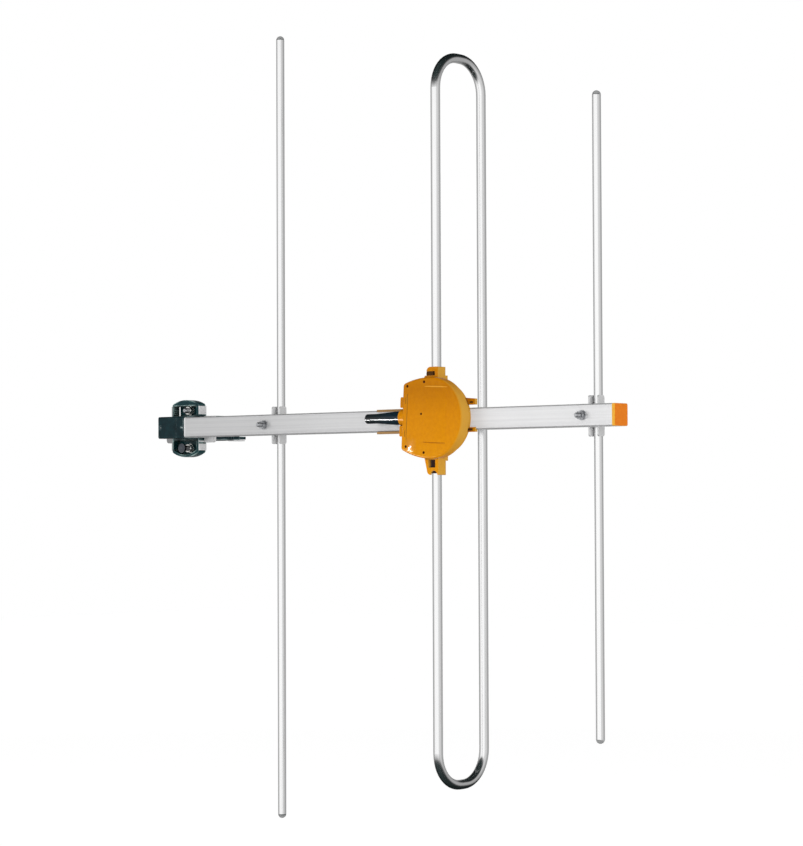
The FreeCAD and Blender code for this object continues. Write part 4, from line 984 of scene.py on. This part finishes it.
def wind_thread(name, tip, root, length, pitch):
    """A thread from its tip inwards along +Y, on a shank of the given radius."""
    bpy.ops.object.select_all(action="DESELECT")
    bpy.ops.mesh.primitive_circle_add(
        vertices=3, radius=pitch * CREST, fill_type="NOTHING",
        location=(0, 0, 0), rotation=(math.radians(-90), 0, 0))
    coil = bpy.context.object
    bpy.ops.object.transform_apply(location=False, rotation=True, scale=False)
    start_edit()
    bpy.ops.mesh.select_all(action="SELECT")
    bpy.ops.transform.rotate(
        value=math.radians(90), orient_axis="Y", center_override=(0, 0, 0))
    bpy.ops.transform.translate(value=(root - pitch * SINK, 0, 0))
    bpy.ops.object.mode_set(mode="OBJECT")
    turns = max(1, int(length / pitch) - 1)
    apply_modifier(
        coil, "SCREW", axis="Z", angle=math.tau, screw_offset=pitch,
        iterations=turns, steps=STEPS_PER_TURN, render_steps=STEPS_PER_TURN,
        use_merge_vertices=False, use_smooth_shade=True)
    start_edit()
    bpy.ops.mesh.select_all(action="SELECT")
    bpy.ops.mesh.fill_holes(sides=3)
    bpy.ops.object.mode_set(mode="OBJECT")
    coil.rotation_euler = (math.radians(-90), 0, 0)
    coil.location = tip + Vector((0, pitch * LEAD_IN, 0))
    print(name, "has", turns, "turns")
    return finish_piece(coil, name, steel, 30)


print("steps in a turn:", STEPS_PER_TURN)

# %% [markdown]
# Where the threads go
#
# A thread shows between a shank's tip and its nut. The elements are held by 4 mm
# screws and the jaws by 5 mm bolts. The two bolts are one part of the frame, and so
# are their nuts, so each is found by the side of the boom that it is on. The lower
# bolt ends in a short plain pin, so its thread starts behind that.

# %% Threads
SCREW_RADIUS, SCREW_PITCH = 2.0 * MM, 0.7 * MM
BOLT_RADIUS, BOLT_PITCH = 2.5 * MM, 0.8 * MM
# Each bolt's height and the length of its plain pin
BOLTS = {"upper": (17.7, 0.0), "lower": (-20.5, 2.0)}


def front_of(name, upper):
    """The lowest Y of what a node has above the boom's axis, or below it."""
    vertices = nodes[name].data.vertices
    return min(v.co.y for v in vertices if (v.co.z > 0) == upper)


for owner in ("reflector", "director"):
    low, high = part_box(owner + "_screw")
    nut_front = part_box(owner + "_nut")[0].y
    axis = (low + high) / 2
    wind_thread(
        owner + "_thread", Vector((axis.x, low.y, axis.z)), SCREW_RADIUS,
        nut_front - low.y, SCREW_PITCH)
bolts_low, bolts_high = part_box("bracket_bolts")
bolts_x = (bolts_low.x + bolts_high.x) / 2
for label, (level, pin) in BOLTS.items():
    tip_y = front_of("bracket_bolts", level > 0) + pin * MM
    nut_front = front_of("bracket_nuts", level > 0)
    wind_thread(
        label + "_bolt_thread", Vector((bolts_x, tip_y, level * MM)), BOLT_RADIUS,
        nut_front - tip_y, BOLT_PITCH)

# %% [markdown]
# The sawn lip of the boom
#
# Where the boom was sawn, the blade turned a bright burr over the edge. It is a
# square ring with rounded corners: a plane is bevelled at its corners, inset, its
# middle is removed, and it is thickened and rounded over.

# %% Sawn lip
LIP_LENGTH = 1.7
LIP_PROUD = 0.16
LIP_CORNER = 2.0
LIP_WALL = 1.0
LIP_START = 0.02
LIP_ROUNDING = 0.3
SAW_LINES = (900, 200, 200)
boom_centre = (boom_low + boom_high) / 2
side = boom_high.z - boom_low.z + 2 * LIP_PROUD * MM
bpy.ops.object.select_all(action="DESELECT")
bpy.ops.mesh.primitive_plane_add(
    size=side,
    location=(boom_low.x + LIP_START * MM, boom_centre.y, boom_centre.z),
    rotation=(0, math.radians(90), 0))
lip = bpy.context.object
bpy.ops.object.transform_apply(location=True, rotation=True, scale=True)
start_edit()
bpy.ops.mesh.select_all(action="SELECT")
bpy.ops.mesh.bevel(
    offset=LIP_CORNER * MM, segments=5, affect="VERTICES", offset_type="OFFSET")
bpy.ops.mesh.select_mode(type="FACE")
bpy.ops.mesh.select_all(action="SELECT")
bpy.ops.mesh.inset(thickness=LIP_WALL * MM)
bpy.ops.mesh.delete(type="FACE")
bpy.ops.mesh.select_all(action="SELECT")
bpy.ops.mesh.extrude_region_move(
    TRANSFORM_OT_translate={"value": (LIP_LENGTH * MM, 0, 0)})
bpy.ops.object.mode_set(mode="OBJECT")
apply_modifier(
    lip, "BEVEL", width=LIP_ROUNDING * MM, segments=3, limit_method="ANGLE",
    angle_limit=math.radians(60))
sawn = make_finish(
    "sawn_edge", grey(0.97), grey(0.85), grey(1.0), (0.4, 0.5), SAW_LINES, 0.04,
    metallic=0.2, wear_and_sheen=0.3, smudge=10)
finish_piece(lip, "boom_sawn_lip", sawn, 50)
print("lip faces:", len(lip.data.polygons))

# %% [markdown]
# The ends of the raised panel
#
# The cover's panel fades into the face at its sides and stops short at its top and
# foot. Each stop is a slim bead, highest in the middle, like half a spindle laid on
# the face. A sphere is cut in half at its full size first and stretched after,
# because a cut through a sphere of a few millimetres leaves stray slivers.

# %% Beads on the cover
BOX_TURN = math.radians(3.0)
FACE_Y = cover_low.y + 0.5 * MM
BEAD_SINK = 0.05


def on_cover(across, up):
    """A place on the cover's face, from the box's centre in its own turned frame."""
    return Vector((
        dipole_x + (across * math.cos(BOX_TURN) + up * math.sin(BOX_TURN)) * MM,
        FACE_Y,
        box_z + (up * math.cos(BOX_TURN) - across * math.sin(BOX_TURN)) * MM))


def add_bead(name, place, half_sizes, material, turn=0.0):
    """Half a spindle, its flat side just inside a face that looks towards -Y."""
    half_length, half_width, height = half_sizes
    bpy.ops.object.select_all(action="DESELECT")
    bpy.ops.mesh.primitive_uv_sphere_add(segments=32, ring_count=16, radius=1)
    bead = bpy.context.object
    start_edit()
    bpy.ops.mesh.select_all(action="SELECT")
    bpy.ops.mesh.bisect(
        plane_co=(0, 0, 0), plane_no=(0, 1, 0), threshold=0.001, use_fill=True,
        clear_outer=True)
    bpy.ops.object.mode_set(mode="OBJECT")
    bead.scale = (half_width * MM, height * MM, half_length * MM)
    bead.rotation_euler = (0, math.radians(90) + turn, 0)
    bead.location = place + Vector((0, BEAD_SINK * MM, 0))
    return finish_piece(bead, name, material, 60)


# The top bead is a paler amber, painted light where its edge faces the light, and the foot
# bead a deeper amber, painted shade.
amber_top_light = make_finish(
    "box_plastic_top_light", (0.84, 0.42, 0.05), (0.78, 0.36, 0.03), (0.9, 0.5, 0.1),
    (0.2, 0.3), PEBBLE, 0.006, gloss=0.13, tint=AMBER_TINT)
amber_foot_shade = make_finish(
    "box_plastic_foot_shade", (0.50, 0.16, 0.0), (0.42, 0.125, 0.0), (0.6, 0.25, 0.02),
    (0.3, 0.4), PEBBLE, 0.006, gloss=0.1, tint=AMBER_TINT)
add_bead(
    "panel_top_bead", on_cover(6.0, 28.9), (14, 0.6, 0.52), amber_top_light,
    BOX_TURN)
add_bead(
    "panel_foot_bead", on_cover(6.0, -22.4), (14, 0.55, 0.5), amber_foot_shade,
    BOX_TURN)
print("beads on the face at y", round(FACE_Y, 5))

# %% [markdown]
# The pips
#
# The cover has five small dark pips, which look like the marks of the pins that
# pushed it out of its mould. Each is a shallow round bead in a much deeper red than
# the face, because the pip's own little wall shades it.

# %% Pips
PIP_HEIGHT = 0.25
# Each pip's place across and up the cover, and its radius
PIPS = [
    (-8.2, 33.0, 1.35), (-28.0, 28.4, 1.35), (-10.4, 3.4, 1.1),
    (-27.3, -27.3, 1.35), (-5.7, -32.0, 1.35)]
pip_red = make_finish(
    "box_plastic_pip", (0.045, 0.004, 0.0), (0.03, 0.002, 0.0), (0.1, 0.02, 0.0),
    (0.3, 0.4), PEBBLE, 0.006, gloss=0.1, tint=(1.0, 0.5, 0.2))
for number, (across, up, radius) in enumerate(PIPS, 1):
    add_bead(
        "pip_%d" % number, on_cover(across, up), (radius, radius, PIP_HEIGHT),
        pip_red)
print("pips:", len(PIPS))

# %% [markdown]
# Small mouldings on the box
#
# The box's rear ears carry a snap slot and a dimple, and the upper tab's window is
# closed at one side by a thin web. All three are a dark brown, which is painted
# shade: the shade inside these recesses. The slot and the web are blocks with
# bevelled edges, the dimple is the same half spindle as the panel's beads.

# %% Mouldings on the box
inner_shade_brown = make_finish(
    "box_plastic_inside_shade", (0.085, 0.036, 0.010), (0.06, 0.024, 0.006),
    (0.2, 0.09, 0.02), (0.3, 0.4), PEBBLE, 0.006, gloss=0.1, tint=AMBER_TINT)


def add_block(name, low, high, material, bevel=0.3, only=None):
    """A bevelled block between two corners in mm; only= picks its edges."""
    low, high = Vector(low) * MM, Vector(high) * MM
    bpy.ops.object.select_all(action="DESELECT")
    bpy.ops.mesh.primitive_cube_add(size=1, location=(low + high) / 2)
    block = bpy.context.object
    block.scale = high - low
    bpy.ops.object.transform_apply(location=True, rotation=True, scale=True)
    start_edit()
    if only is None:
        bpy.ops.mesh.select_all(action="SELECT")
    else:
        found = select_where(only)
        print(name, "is rounded at", found, "corners")
    bpy.ops.mesh.bevel(offset=bevel * MM, segments=4, affect="EDGES")
    bpy.ops.object.mode_set(mode="OBJECT")
    print(name, "has", len(block.data.polygons), "faces")
    return finish_piece(block, name, material, 50)


def is_web_corner(place):
    """The web's upper left edge, rounded like the window's corner."""
    return place.x < 0.347 and place.z > 0.044


add_block(
    "upper_tab_web", (346.2, -70.6, 39.0), (354.0, -69.0, 45.2), inner_shade_brown,
    3.0, is_web_corner)
add_block(
    "lower_ear_slot", (383.5, -58.0, -11.0), (389.8, -57.3, -8.9), inner_shade_brown)
add_bead(
    "upper_ear_dimple", Vector((0.3885, -0.0575, 0.0150)), (2.2, 0.9, 0.3),
    inner_shade_brown)

# %% [markdown]
# Small mouldings on the clamp
#
# The clamp shows dark steps and a groove where its plates meet the boom. The rear
# jaw has a lug with a shim under it, and two notches on the block's parting line
# catch the light, which is painted as two pale grey marks. The steps, the lug and
# the shim are blocks, the pale marks are half spindles.

# %% Mouldings on the clamp
STEP_LEFT, STEP_RIGHT = 19.4, 20.15
STEP_FRONT, STEP_BACK = -37.0, -25.7
# The lower and upper edge of each dark strip
STEPS = {
    "upper_spacer_step": (10.1, 13.6),
    "lower_spacer_step": (-13.1, -10.1),
    "lower_plate_groove": (-16.1, -14.5),
}
# Painted highlight: pale grey marks where the notches catch the light
notch_glint_grey = make_finish(
    "block_plastic_notch_glint", (0.42, 0.48, 0.48), (0.30, 0.36, 0.36),
    (0.6, 0.65, 0.65), (0.3, 0.45), PEBBLE, 0.006, gloss=0.4)
for name, (low_z, high_z) in STEPS.items():
    add_block(
        name, (STEP_LEFT, STEP_FRONT, low_z), (STEP_RIGHT, STEP_BACK, high_z),
        black, 0.15)
add_block(
    "rear_jaw_lug", (24.0, 7.6, -11.4), (32.4, 19.6, -8.6), black)
add_block(
    "rear_jaw_shim", (24.0, 2.0, -13.2), (32.2, 18.6, -11.8), bracket_zinc)
add_bead(
    "block_notch_glint_left", Vector((-0.0146, -0.0562, 0.0)), (1.3, 0.7, 0.5), notch_glint_grey)
add_bead(
    "block_notch_glint_right", Vector((0.0164, -0.0570, -0.0003)), (1.9, 0.45, 0.5),
    notch_glint_grey)

# %% [markdown]
# Sizes and the end
#
# The last line prints the box round everything that is dressed now.

# %% Sizes and the end
low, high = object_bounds()
print("visual box", [round(value, 4) for value in (*low, *high)])
